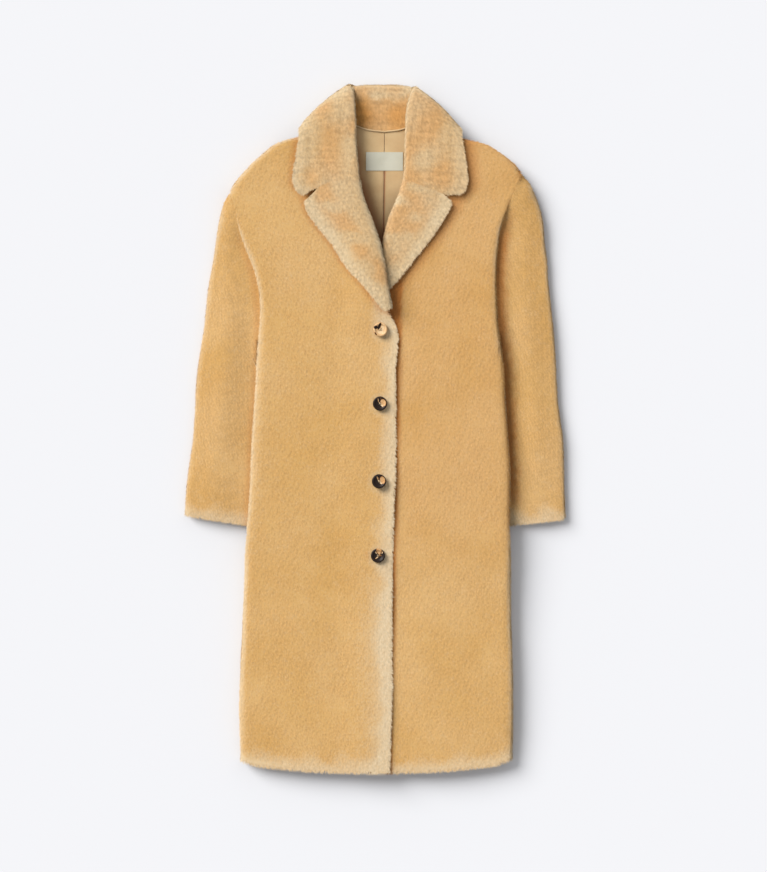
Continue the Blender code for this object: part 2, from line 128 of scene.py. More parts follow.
# Rings of a sleeve from the armhole to the cuff. "tuck" is how far its inner edge lies under the body.
SLEEVE_RINGS = {
    "right": (
        # outer up, inner up, tuck, crown, own shape
        (1014, 755, 0, 38, 0), (1000, 756, -2, 38, 0.15), (978, 740, -2, 36, 0.6), (942, 716, 0, 34, 0.9),
        (893, 692, 8, 34, 1), (825, 662, 36, 35, 1), (755, 628, 52, 35, 1), (690, 585, 57, 34, 1),
        (625, 540, 57, 33, 1), (565, 497, 55, 31, 1), (505, 458, 53, 28, 1), (453, 428, 51, 23, 1),
    ),
    "left": (
        (1047, 763, 0, 38, 0), (1033, 764, -2, 38, 0.15), (1010, 746, -2, 36, 0.6), (966, 719, 0, 33, 0.9),
        (905, 694, 8, 33, 1), (832, 664, 32, 34, 1), (760, 628, 46, 34, 1), (690, 585, 52, 33, 1),
        (620, 540, 54, 32, 1), (555, 497, 55, 30, 1), (500, 460, 55, 27, 1), (446, 430, 55, 23, 1),
    ),
}
SLEEVE_ROLL = (12.0, 5.5)  # how wide a sleeve's outer and inner edge turns over
HOLE_TRIM = 8.0  # the sleeve's head ends this far short of the underarm and the shoulder point
SLEEVE_EDGE_TOP = 15.0  # the upper wall just inside its outer edge
FLAT_TOP = 14.0  # the upper wall where the body lies on it

# Lapel facings from the break up to the gorge: the roll line, and the outer edge with its tip.
LAPEL = {
    "right": (
        # roll x, roll up, edge x, edge up, bow
        (33, 816, 16, 812, 0), (27, 852, -20, 857, 0), (20.5, 888, -47, 886, 0), (11.5, 926, -74, 928, 0),
        (-1, 962, -100, 960, 1), (-11.5, 993, -115, 981, 4), (-18, 1015, -120.5, 997, 9),
        (-22, 1032, -117, 1004, 15),
    ),
    "left": (
        (-14, 826, 2, 830, 0), (-8, 856, 32, 856, 0), (2, 893, 62, 893, 0), (13, 930, 91, 930, 0),
        (22, 965, 114, 962, 0), (34, 995, 129, 988, 0), (42.5, 1016, 132, 999, 4), (48.5, 1033, 124, 1007, 7),
    ),
}

# The collar from the centre back round to its front ends: neck seam, roll and outer edge. "turn" goes
# from 0, where the fall lies under the back, to 1, where it lies on the front.
COLLAR = {
    "right": (
        # neck x, roll x, roll up, edge x, edge up, turn, bow, neck up
        (17.5, 17.5, 1202, 17.5, 1096, 0, 0, 1123.5), (-12, -12, 1202, -26, 1097, 0, 0, 1127),
        (-36, -29, 1200, -70, 1103, 0.04, 0, 1135.5), (-53, -36, 1198, -110, 1117, 0.22, 0, 1145),
        (-63, -38, 1194, -127, 1128, 0.5, 0, 1152), (-62, -37, 1184, -129, 1119, 0.78, 0, 1145),
        (-57, -35.5, 1162, -131.5, 1102, 0.96, 0, 1129), (-52, -34.5, 1128, -135, 1080, 1, 0, 1106),
        (-47, -33.5, 1093, -139, 1056, 1, 0, 1080), (-45, -32, 1066, -140.5, 1037, 1, 2, 1060),
        (-44, -30.5, 1050, -134, 1020, 1, 8, 1049), (-43, -29.5, 1042, -123, 1013, 1, 14, 1042),
    ),
    "left": (
        (17.5, 17.5, 1202, 17.5, 1096, 0, 0, 1123.5), (45, 43, 1202, 59, 1097, 0, 0, 1127),
        (69, 55, 1200, 99, 1103, 0.04, 0, 1135.5), (86, 61.5, 1196, 132, 1117, 0.22, 0, 1145),
        (96, 63.5, 1191, 148, 1127, 0.5, 0, 1152), (95, 62, 1181, 149.5, 1117, 0.78, 0, 1145),
        (89.5, 58.5, 1160, 152.5, 1100, 0.96, 0, 1129), (82, 57, 1127, 156, 1080, 1, 0, 1106),
        (75, 56, 1094, 159.5, 1056, 1, 0, 1080), (71, 55.5, 1068, 161, 1037, 1, 0, 1062),
        (68.5, 54.5, 1054, 156, 1021, 1, 0, 1052), (67.5, 53.5, 1047, 146, 1013, 1, -1, 1046),
    ),
}
COLLAR_TURN = 6.25  # radius of the wall where it rolls over

BUTTON_RADIUS, BUTTON_THICK = 12.5, 5.0
LABEL_X, LABEL_UP = (-14.9, 49.7), (1054.4, 1086.8)  # its edges
LABEL_THICK, LABEL_LIFT = 0.8, 0.5  # and how far it stands off the back
SIGN = {"right": -1.0, "left": 1.0}  # of x on each of the wearer's sides
HEM_TO_SHOULDER = 1142.0  # how far up a panel's rows go

# How a shell is drawn.
FACE_STEP = 7.0  # between its grid's points
EDGE_MARKS = np.array([0.0, 0.2, 0.7, 1.5, 2.6, 4.2])  # the points nearest an edge, where the rim is round
OUT, IN = 2.6, 3.2  # from the middle of the wall to the pile's ground and to the backing
FREE_RIM, SEWN_RIM = 3.4, 0.6  # a rim's radius at a free edge, and where it is sewn to its neighbour
GORGE_UP = {"right": 7.0, "left": 8.0}  # the lapel's top edge is drawn up to the collar, away from its tip
GORGE_DOWN = {"right": 4.5, "left": 6.0}  # and the collar's end down to the lapel
NOTCH_X = {"right": 122.0, "left": 150.0}  # how far out the collar's end reaches
LOWEST = 0.2  # nothing dips below this over the surface
ARMHOLE_DIP, ARMHOLE_ROLL = {"right": 16.0, "left": 15.0}, 4.5  # how far a front's edge sinks, and over how much
SHOULDER_TURN = 24.0  # as ARMHOLE_TURN, at the shoulder point
SOFT_NORMAL, SKY_NORMAL = 0.78, 2.0  # a blade's normal is mostly its ground's, and leans to the open sky
VALLEY_RISE = {"right": 9.0, "left": 3.0}  # the sleeve's upper wall beside the armhole, over the same by the body
CROWN_SHARE = 0.8  # the sleeves have sunk a little from their full roundness
BACK_RIDGE = 1.8  # how high the centre-back seam's allowance stands, on one side of the seam
CUFF = (455.0, 500.0)  # the painted shade in the fold beside the armhole fades out between these heights
BLADES = {"front": 155000, "back": 34000, "sleeve": 100000, "facing": 30000, "collar": 85000}
SHEET_SEED = {"front": 10, "back": 11, "sleeve": 12, "facing": 13, "collar": 14}  # of the cloth's unevenness
PILE_SEED = {"front": 20, "back": 30, "sleeve": 40, "facing": 50, "collar": 60}
PALEST = 0.65  # no pile is paler than this share
LONG_PILE = {"tuft": 5.0, "clump": 0.12, "lie": 9.0, "uneven": 3.0, "streak": 0.34}  # of the facings and the collar

# The stage.
FLOOR_HALF, FLOOR_LEVEL = 6.0, -0.0005  # in metres
SUN_STRENGTH, SUN_WIDTH, SUN_TOWARDS = 5.5, 34.0, (1.2, -1.0, -1.0)
SKY_STRENGTH = 0.71
LENS = 200.0
PICTURE_HIGH, PIXEL = 872, 1.75  # pixels, and millimetres to a pixel on the coat's mean height
PICTURE_MIDDLE, MEAN_HEIGHT = (15.75, 589.75), 0.025  # x and up; metres


def ease(low, high, value):
    """0 at low, 1 at high, with no slope at either: 3 part squared less 2 part cubed."""
    part = np.clip((np.asarray(value, float) - low) / (high - low), 0.0, 1.0)
    return part * part * (3 - 2 * part)


def turned(part):
    """A quarter circle's rise: the root of 1 less the square of what is left of the part."""
    return np.sqrt(1 - (1 - np.clip(part, 0.0, 1.0)) ** 2)


def bell(distance, middle, reach):
    """1 at the middle, falling off to both sides as a bell."""
    return np.exp(-(((distance - middle) / reach) ** 2))


def through(rows, at, column=1):
    """Smooth curve through a table's rows: cubic pieces, each slope taken from the rows beside it."""
    table = np.asarray(rows, float)
    knots, values = table[:, 0], table[:, column]
    slopes = np.gradient(values, knots)
    at = np.asarray(at, float)
    i = np.clip(np.searchsorted(knots, at, side="right") - 1, 0, len(knots) - 2)
    span = knots[i + 1] - knots[i]
    t = np.clip((at - knots[i]) / span, 0.0, 1.0)
    bend = slopes[i] * t * (1 - t) ** 2 - slopes[i + 1] * t * t * (1 - t)
    return values[i] + (values[i + 1] - values[i]) * t * t * (3 - 2 * t) + span * bend


def between(rows, steps):
    """A table's rows with others worked out between them, `steps` to a row."""
    table = np.array(rows, float)
    station = np.arange(len(table), dtype=float)
    fine = np.arange((len(table) - 1) * steps + 1) / steps
    return np.column_stack([through(np.column_stack([station, column]), fine) for column in table.T])


def moved_in(rows, side):
    """The outline moved in by INSET, along its normals, as (ups, xs)."""
    up = np.linspace(rows[0][0], rows[-1][0], 400)
    x = through(rows, up)
    dx, dup = np.gradient(x), np.gradient(up)
    length = np.hypot(dx, dup)
    inner_up = up + SIGN[side] * dx / length * INSET
    return np.maximum.accumulate(inner_up), x - SIGN[side] * dup / length * INSET


BODY_LINE = {side: moved_in(EDGE[side], side) for side in EDGE}
SLEEVE_LINE = {side: moved_in(SLEEVE_EDGE[side], side) for side in SLEEVE_EDGE}
# How far the pile stands open down the side edges: up, and how far.
FLARE = {"right": ((0, 3.0), (150, 3.0), (440, 0.0), (1100, 0.0)),
         "left": ((0, 5.0), (150, 5.0), (440, 3.0), (960, 3.0), (1010, 0.0), (1100, 0.0))}
for _side, _line in BODY_LINE.items():
    BODY_LINE[_side] = _line[0], _line[1] + SIGN[_side] * np.interp(_line[0], *np.array(FLARE[_side]).T)
SLEEVE_LINE["left"] = SLEEVE_LINE["left"][0], SLEEVE_LINE["left"][1] + 2.5


def hem_drop(x):
    """How far the hem curves up towards the side seams: a power of the distance from the middle."""
    return PILE + 13.0 * (np.abs(x) / 215.0) ** 2.2 + 6.0 * ease(208, 240, np.abs(x))


def from_edge(side, x, up):
    """Distance of a point in from the body's outline."""
    return SIGN[side] * (through(EDGE[side], up) - x)


def back_height(side, x, up):
    """The back's middle over the floor: level, and eased up over the sleeve's tuck and the collar's fall."""
    over_sleeve = ease(345, 418, up) * (1 - ease(716, 758, up))
    over_sleeve = over_sleeve * (1 - ease(*TUCK_REACH, from_edge(side, x, up)))
    over_collar = ease(960, 1045, up) * (1 - ease(*NECK_SPREAD, np.abs(x - NECK_CENTRE[0])))
    return ON_FLOOR + TUCK_LIFT * over_sleeve + NECK_LIFT * over_collar


def front_height(side, x, up):
    """A front's middle over the floor: from the side edge's height to the middle's, with the overlap's rise."""
    middle, edge = through(FRONT_HEIGHT, up), through(FRONT_HEIGHT, up, 2)
    height = edge + (middle - edge) * ease(0, 110, from_edge(side, x, up))
    if side == "left":
        return height - UNDER_DIP * ease(95, 35, x)
    from_inner = through(INNER["right"], up) - x
    climb = ease(770, 835, up) * (1 - ease(1010, 1110, up)) * ease(80, 12, from_inner)
    return height + OVERLAP_RISE * ease(-75, -15, x) * (1 - ease(900, 1000, up)) + LAPEL_RISE * climb


def armhole_open(side, up, trim=0.0):
    """1 along an armhole, turning to 0 at the underarm and the shoulder point, as an ellipse does."""
    low, high = ARMHOLE[side]
    return turned((up - low - trim) / ARMHOLE_TURN) * turned((high - trim - up) / SHOULDER_TURN)


def armhole_dip(side, up):
    """How far the front sinks into the armhole's seam, which it does less and less towards the shoulder point."""
    high = ARMHOLE[side][1]
    return ARMHOLE_DIP[side] * (1 - ease(high - 100, high - 30, up))


def side_seam_height(side, up):
    """Half way between the back and the front at the body's edge."""
    x = np.interp(up, *BODY_LINE[side])
    return (back_height(side, x, up) + front_height(side, x, up)) / 2


def panel_grid(side, up, inner_x, height, toward):
    """A front or back: rows from hem to neck, each from the side edge, round a quarter turn, to the inner edge."""
    outer_x = np.interp(up, *BODY_LINE[side])
    width = np.abs(outer_x - inner_x)[:, None]
    roll = np.minimum(SIDE_ROLL, 0.55 * width)
    distance = np.concatenate(
        [0 * roll, roll * (1 - np.cos(np.linspace(0, math.pi / 2, 10))),
         roll + (width - roll) * np.linspace(0, 1, 41)[1:]], axis=1)
    up = up[:, None] + np.zeros_like(distance)
    x = outer_x[:, None] - SIGN[side] * distance
    opened = armhole_open(side, up)
    strip = toward * EDGE_STRIP * np.sqrt(1 - opened**2)
    seam = side_seam_height(side, up) + toward * SEAM / 2
    reached = turned((distance + roll * (1 - np.sqrt(1 - opened**2))) / roll)
    z = seam + (height(side, x, up) - seam) * reached
    if toward > 0:
        z = z - armhole_dip(side, up) * opened * (1 - turned(distance / ARMHOLE_ROLL))
    x[:, 0] += SIGN[side] * EDGE_STRIP * opened[:, 0]
    z[:, 0] -= strip[:, 0]
    return x, up, z


def front_grid(side):
    """The front from its side edge to the centre-front edge, the lapel's roll line and the neck seam."""
    up = np.linspace(0, HEM_TO_SHOULDER, 260)
    x, up, z = panel_grid(side, up, through(INNER[side], up), front_height, 1)
    up = up + hem_drop(x) * (1 - ease(0, 160, up))
    return np.stack([x, up, z], axis=-1)


def back_grid(side):
    """As a front, to the centre-back seam, but the rows near the neck bend to follow its seam."""
    up = np.linspace(0, HEM_TO_SHOULDER, 260)
    centre = 3.0 + 14.5 * up / NECK_CENTRE[1] + SIGN[side] * SEAM / 2
    x, up, z = panel_grid(side, up, centre, back_height, -1)
    part = np.abs((x - NECK_CENTRE[0]) / NECK_HALF)
    top = NECK_CENTRE[1] + NECK_RISE * part**2 - 1.0
    up = up - (HEM_TO_SHOULDER - top) * ease(860, HEM_TO_SHOULDER, up) * ease(1.05, 0.75, part)
    off = np.abs(x - centre[:, None])
    ridge = BACK_RIDGE * bell(off, 4.0, 3.0) if side == "right" else -0.5 * BACK_RIDGE * bell(off, 0.0, 4.0)
    z = z + ridge * ease(780, 860, up) * ease(LABEL_UP[0] - 3, LABEL_UP[0] - 16, up)
    up = up + hem_drop(x) * (1 - ease(0, 160, up))
    return np.stack([x, up, z], axis=-1)


def sleeve_top(side, x, up, crown):
    """Height of a sleeve's upper wall: low by its outer edge, domed, flat where the body lies on it."""
    inside = SIGN[side] * (through(SLEEVE_EDGE[side], up) - x)
    valley = FLAT_TOP + VALLEY_RISE[side] * ease(ARMHOLE[side][0], ARMHOLE[side][0] + 150, up)
    domed = SLEEVE_EDGE_TOP + (CROWN_SHARE * crown - SLEEVE_EDGE_TOP) * ease(0, 60, inside)
    return valley + (domed - valley) * ease(2, 62, -from_edge(side, x, up))


def sleeve_grid(side):
    """Rings from the armhole to the cuff, each from the outer edge over the top to the inner edge and back.
    A ring's plan goes from the armhole's curve to a straight line across the sleeve as its own shape grows."""
    low, high = ARMHOLE[side]
    sign = SIGN[side]
    rings = []
    for outer_up, inner_up, tuck, crown, own in between(SLEEVE_RINGS[side], 8):
        own = min(max(own, 0.0), 1.0)
        roll_out = SLEEVE_ROLL[0] + (SHOULDER_TURN - SLEEVE_ROLL[0]) * (1 - own)
        roll_in = SLEEVE_ROLL[1] + (ARMHOLE_TURN - SLEEVE_ROLL[1]) * (1 - own)
        start = np.array([np.interp(outer_up, *SLEEVE_LINE[side]), outer_up])
        end = np.array([through(EDGE[side], inner_up) - sign * tuck, inner_up])
        length = np.linalg.norm(end - start)
        turn = 1 - np.cos(np.linspace(0, math.pi / 2, 12))
        walk = np.concatenate([roll_out * turn, np.linspace(roll_out, length - roll_in, 26)[1:-1],
                               length - roll_in * turn[::-1]])
        part = walk / length
        hole_up = high - HOLE_TRIM - part * (high - low - 2 * HOLE_TRIM)
        opened = armhole_open(side, hole_up, HOLE_TRIM)
        hole_x = np.interp(hole_up, *BODY_LINE[side]) + sign * (SEAM + EDGE_STRIP - 0.6 + 0.8 * (1 - opened))
        hole_seam = side_seam_height(side, hole_up)
        hole = np.stack([hole_x, hole_up], axis=-1)
        bend = hole - np.outer(1 - part, hole[0]) - np.outer(part, hole[-1])
        chord = np.outer(1 - part, start) + np.outer(part, end) + bend * (1 - own)
        plan = hole + (chord - hole) * min(own / 0.15, 1.0)
        x, up = plan[:, 0], plan[:, 1]
        shut = turned(walk / roll_out) * turned((length - walk) / roll_in)
        seam = np.where(part < 0.5, (SLEEVE_EDGE_TOP + ON_FLOOR) / 2, (FLAT_TOP + ON_FLOOR) / 2)
        own_faces = seam + (sleeve_top(side, x, up, crown) - seam) * shut, seam + (ON_FLOOR - seam) * shut
        hole_top = front_height(side, hole_x, hole_up) - armhole_dip(side, hole_up)
        hole_faces = (hole_seam + (hole_top - hole_seam) * opened,
                      hole_seam + (back_height(side, hole_x, hole_up) - hole_seam) * opened)
        upper, lower = (hole_z + (own_z - hole_z) * own for hole_z, own_z in zip(hole_faces, own_faces))
        rings.append(np.concatenate([np.stack([x, up, upper], axis=-1), np.stack([x, up, lower], axis=-1)[-2:0:-1]]))
    return np.array(rings)


def lapel_grid(side):
    """Sections from the break to the gorge: a hook round the front's edge, then flat to the outer edge."""
    sign = SIGN[side]
    sections = []
    for roll_x, roll_up, edge_x, edge_up, bow in between(LAPEL[side], 8):
        start = np.array([roll_x + sign * INSET, roll_up])
        end = np.array([edge_x, edge_up])
        reach = np.linalg.norm(end - start)
        lip = min(9.0, 0.5 * reach)
        turn = np.linspace(0, math.pi / 2, 9)
        walk = np.concatenate([lip * (1 - np.cos(turn)), np.linspace(lip, reach, 20)[1:]])
        rise = np.concatenate([np.sin(turn), np.ones(19)])
        part = walk / reach
        x = start[0] + (end[0] - start[0]) * part
        up = start[1] + (end[1] - start[1]) * part + bow * np.sin(math.pi * part)
        low = front_height(side, x, up)
        sections.append(np.stack([x, up, low - 1.0 + (WALL + LOFT + 1.0) * rise], axis=-1))
    sections = np.array(sections)
    count, part = len(sections), np.linspace(0, 1, sections.shape[1])
    near = ease(count - 14, count - 1, np.arange(count))[:, None]
    sections[..., 1] += GORGE_UP[side] * near * (1 - ease(0.72, 0.97, part))
    return sections


def collar_half(side):
    """Sections from the centre back to the front end: stand up from the neck seam, roll over, fall. The turn
    carries the fall in half a circle about the roll, from under the back to the top of the front."""
    sections = []
    for neck_x, roll_x, roll_up, edge_x, edge_up, turn, bow, neck_up in between(COLLAR[side], 8):
        neck_x = neck_x - SIGN[side] * NECK_GAP * turn
        neck, roll, edge = np.array([neck_x, neck_up]), np.array([roll_x, roll_up]), np.array([edge_x, edge_up])
        lean = (roll - neck) / np.linalg.norm(roll - neck)
        angle = math.pi * min(max(turn, 0.0), 1.0)
        along = (edge - roll) / np.linalg.norm(edge - roll)
        outward = np.array([along[1], -along[0]]) * SIGN[side] * -1.0
        out = np.array([*(outward * math.sin(angle)), -math.cos(angle)])
        raised = 1 - math.cos(angle)
        neck_z = ON_FLOOR + NECK_LIFT + (front_height(side, neck_x, neck_up) - ON_FLOOR - NECK_LIFT) * raised / 2
        before = np.array([*(roll - lean * COLLAR_TURN), neck_z])
        start = np.array([*neck, neck_z])
        stand = start + (before - start) * np.linspace(0, 1, 8)[:-1, None]
        lean3 = np.array([*lean, 0.0])
        swing = np.linspace(0, math.pi, 12)[:, None]
        arc = before + out * COLLAR_TURN + COLLAR_TURN * (lean3 * np.sin(swing) - out * np.cos(swing))
        edge_z = ON_FLOOR + (front_height(side, edge_x, edge_up) + 2 * COLLAR_TURN - ON_FLOOR) * raised / 2
        finish = np.array([*edge, edge_z])
        t = np.linspace(0, 1, 18)[1:]
        fall = arc[-1] + (finish - arc[-1]) * t[:, None]
        fall[:, 1] += bow * np.sin(math.pi * t)
        fall[:, :2] += outward * (20.0 * t * (1 - t) * math.sin(angle))[:, None]
        resting = front_height(side, fall[:, 0], fall[:, 1]) + 2 * COLLAR_TURN
        fall[:, 2] += (resting - fall[:, 2]) * max(turn - 0.9, 0) * 10
        sections.append(np.concatenate([stand, arc, fall]))
    sections = np.array(sections)
    near = ease(len(sections) - 16, len(sections) - 1, np.arange(len(sections)))[:, None]
    sections[..., 1] -= GORGE_DOWN[side] * near * (1 - ease(-24, -10, SIGN[side] * sections[..., 0] - NOTCH_X[side]))
    return sections


def collar_grid():
    """Both halves in one run, from the right front end round the neck to the left one."""
    right, left = collar_half("right"), collar_half("left")
    return np.concatenate([right[:0:-1], left])


def label_grid():
    """A rectangle on the back's inside."""
    x, up = np.meshgrid(np.linspace(*LABEL_X, 30), np.linspace(*LABEL_UP, 16))
    z = back_height("left", x, up) + IN + LABEL_LIFT + LABEL_THICK / 2
    return np.stack([x, up, z], axis=-1)


def along(grid, places):
    """Each row's points moved to these shares of the row's own length."""
    out = np.empty((len(grid), len(places), 3))
    for row, points in enumerate(grid):
        walk = np.concatenate([[0.0], np.cumsum(np.linalg.norm(np.diff(points, axis=0), axis=1))])
        out[row] = np.column_stack([np.interp(places * walk[-1], walk, points[:, k]) for k in range(3)])
    return out


def marks(length, step):
    """Shares of a length: close together by each end, where the rim is round, then about `step` apart."""
    near = EDGE_MARKS[EDGE_MARKS < length / 3]
    inner = np.linspace(near[-1], length - near[-1], max(3, round((length - 2 * near[-1]) / step) + 1))
    return np.concatenate([near[:-1], inner, length - near[-2::-1]]) / length


def walked(grid, axis):
    """Distance along the grid's lines from their start."""
    steps = np.linalg.norm(np.diff(grid, axis=axis), axis=2)
    return np.concatenate([0 * steps.take([0], axis=axis), np.cumsum(steps, axis=axis)], axis=axis)


def field(points, size, seed, waves=18):
    """A soft random field of about unit spread: sine waves in random directions, each about `size` long."""
    rng = np.random.default_rng(seed)
    heading = rng.normal(size=(waves, 3))
    heading /= np.linalg.norm(heading, axis=1)[:, None]
    rate = 2 * math.pi / (size * rng.uniform(0.7, 1.5, waves))
    phase = rng.uniform(0, 2 * math.pi, waves)
    return sum(np.sin(points @ (h * r) + p) for h, r, p in zip(heading, rate, phase)) * math.sqrt(2 / waves)


def numbered(rows, columns):
    """The numbers of a grid's points, row by row."""
    return np.arange(rows * columns).reshape(rows, columns)


def unit(vectors):
    """The same directions, each of length 1."""
    return vectors / np.maximum(np.linalg.norm(vectors, axis=-1, keepdims=True), 1e-9)


def crease_lift(creases, points):
    """Soft ridges and troughs along lines: a bell across each, eased off at its two ends."""
    lift = np.zeros(points.shape[:-1])
    for x0, up0, x1, up1, reach, height in creases:
        line = np.array([x1 - x0, up1 - up0])
        length = np.linalg.norm(line)
        line = line / length
        dx, dup = points[..., 0] - x0, points[..., 1] - up0
        walk = dx * line[0] + dup * line[1]
        bend = 0.25 * reach * np.sin(walk / 47.0 + x0)
        off = (dx * line[1] - dup * line[0] + bend) / reach
        fade = min(60.0, length / 3)
        lift += height * np.exp(-off**2) * ease(-fade / 2, fade, walk) * ease(length + fade / 2, length - fade, walk)
    return lift


def cloth(kind, grid, outside, rims, ring=False, creases=(), step=FACE_STEP):
    """A wall's two faces from its middle. rims holds the rim's radius at the first and last row and column;
    a free one is round. The pile's ground stands OUT from the middle, along its normals, and the backing IN,
    both turned in at the rims by a quarter circle."""
    if ring:
        grid = np.concatenate([grid, grid[:, :1]], axis=1)
    width, length = walked(grid, 1)[:, -1].mean(), walked(grid, 0)[-1].mean()
    grid = along(grid, np.linspace(0, 1, round(width / step) + 1) if ring else marks(width, step))
    grid = along(grid.transpose(1, 0, 2), marks(length, step)).transpose(1, 0, 2)
    across_to, down_to = walked(grid, 1), walked(grid, 0)
    edges = np.stack([down_to, down_to[-1:] - down_to, across_to, across_to[:, -1:] - across_to])
    shut = np.ones(grid.shape[:2])
    for rim, distance in zip(rims, edges):
        if rim:
            shut = shut * turned(distance / rim)
    free = np.min([d if rim == FREE_RIM else d + 1e3 for rim, d in zip(rims, edges)], axis=0)
    if ring:
        grid, across_to, down_to, shut, free = (a[:, :-1] for a in (grid, across_to, down_to, shut, free))
        edges = edges[:, :, :-1]
        wrapped = np.concatenate([grid[:, -1:], grid, grid[:, :1]], axis=1)
        across = wrapped[:, 2:] - wrapped[:, :-2]
    else:
        across = np.gradient(grid, axis=1)
    down = np.gradient(grid, axis=0)
    size = walked(grid, 1)[:, -1].max(), walked(grid, 0)[-1].max()
    normal = unit(np.cross(across, down)) * outside
    seed = SHEET_SEED[kind]
    soft = 0.8 * field(grid, 120.0, seed) + 0.1 * field(grid, 34.0, seed + 1)
    lift = (crease_lift(creases, grid) + soft) * ease(0, 14, free) * ease(0, 0.5, shut)
    ground = grid + normal * (OUT * shut + lift)[..., None]
    backing = grid + normal * (np.minimum(lift, 0) * 0.6 - IN * shut)[..., None]
    for face in (ground, backing):
        face[..., 2] = np.maximum(face[..., 2], LOWEST)
    return {"kind": kind, "ground": ground, "backing": backing, "normal": normal, "x": ground[..., 0],
            "up": ground[..., 1], "rise": normal[..., 2], "across": unit(across), "down": unit(down), "size": size,
            "u": across_to, "v": down_to, "edges": edges, "free": free, "ring": ring, "outside": outside}


def round_closed(values, ring):
    """A grid's columns with the first again after the last, for a ring."""
    return np.concatenate([values, values[:, :1]], axis=1) if ring else values


def to_sky(normals):
    """Normals drawn up to the open sky, and left as they are where they face down."""
    return unit(normals + SKY_NORMAL * ease(-0.6, 0.8, normals[:, 2:]) * [0.0, 0.0, 1.0])


def new_mesh(name, points, faces, materials, attribute=None, uv=None, slots=None, normals=None, soft=None):
    """A mesh from arrays of points in millimetres and of faces with equal corners, which rides on the one body.
    `attribute` holds each point's tones, `slots` each face's material, and `soft` which points are lit as pile."""
    world = np.array(points, float)
    world[:, :2] -= MIDDLE
    mesh = bpy.data.meshes.new(name)
    count, corners = faces.shape
    mesh.vertices.add(len(world))
    mesh.vertices.foreach_set("co", (world * MM).astype(np.float32).ravel())
    mesh.loops.add(count * corners)
    mesh.loops.foreach_set("vertex_index", faces.astype(np.int32).ravel())
    mesh.polygons.add(count)
    mesh.polygons.foreach_set("loop_start", (np.arange(count) * corners).astype(np.int32))
    mesh.update(calc_edges=True)
    mesh.polygons.foreach_set("use_smooth", np.ones(count, bool))
    for material in materials:
        mesh.materials.append(material)
    if slots is not None:
        mesh.polygons.foreach_set("material_index", slots.astype(np.int32))
    if attribute is not None:
        made = mesh.attributes.new("pile", "FLOAT_COLOR", "POINT")
        made.data.foreach_set("color", attribute.astype(np.float32).ravel())
    if uv is not None:
        layer = mesh.uv_layers.new(name="cut")
        layer.uv.foreach_set("vector", uv[faces.ravel()].astype(np.float32).ravel())
    if soft is not None:  # the pile's ground is lit as its pile is
        normals = np.empty(len(world) * 3, np.float32)
        mesh.vertex_normals.foreach_get("vector", normals)
        normals = normals.reshape(-1, 3)
        normals[soft] = to_sky(normals[soft])
    if normals is not None:
        mesh.normals_split_custom_set_from_vertices(normals)
    piece = bpy.data.objects.new(name, mesh)
    bpy.context.scene.collection.objects.link(piece)
    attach(piece, "root")
    return piece


def quads(number, ring=False):
    """The faces of a numbered grid, closed round its rows for a ring."""
    number = round_closed(number, ring)
    return np.stack([number[:-1, :-1], number[:-1, 1:], number[1:, 1:], number[1:, :-1]], axis=-1).reshape(-1, 4)


def shell(name, sheet, materials, pale, warm, shade):
    """The closed shell: both faces of a sheet, joined at its edges, which they share. `shade` darkens the backing."""
    rows, columns = sheet["ground"].shape[:2]
    top = numbered(rows, columns)
    under = top + rows * columns
    under[0], under[-1] = top[0], top[-1]
    if not sheet["ring"]:
        under[:, 0], under[:, -1] = top[:, 0], top[:, -1]
    faces = quads(top, sheet["ring"]), quads(under, sheet["ring"])[:, ::-1]
    if sheet["outside"] < 0:
        faces = [f[:, ::-1] for f in faces]
    slots = np.repeat([0, 1], [len(faces[0]), len(faces[1])])
    faces = np.concatenate(faces)
    points = np.concatenate([sheet["ground"].reshape(-1, 3), sheet["backing"].reshape(-1, 3)])
    size = max(sheet["u"].max() * 2, sheet["v"].max())
    uv = np.stack([sheet["u"], sheet["v"]], axis=-1).reshape(-1, 2) / size
    uv = np.concatenate([uv, uv + [0.5, 0.0]])
    tone = np.zeros((len(points), 4))
    tone[:, 0], tone[:, 2] = 0.6, 0.5
    # the ground's second tone is its paleness, painted highlight included, and its fourth the painted fold shade
    tone[: rows * columns, 1], tone[: rows * columns, 3] = pale.ravel(), warm.ravel()
    tone[rows * columns:, 0] = shade.ravel()
    used, faces = np.unique(faces, return_inverse=True)
    return new_mesh(name, points[used], faces.reshape(-1, 4), materials, tone[used], uv[used], slots,
                    soft=used < rows * columns)


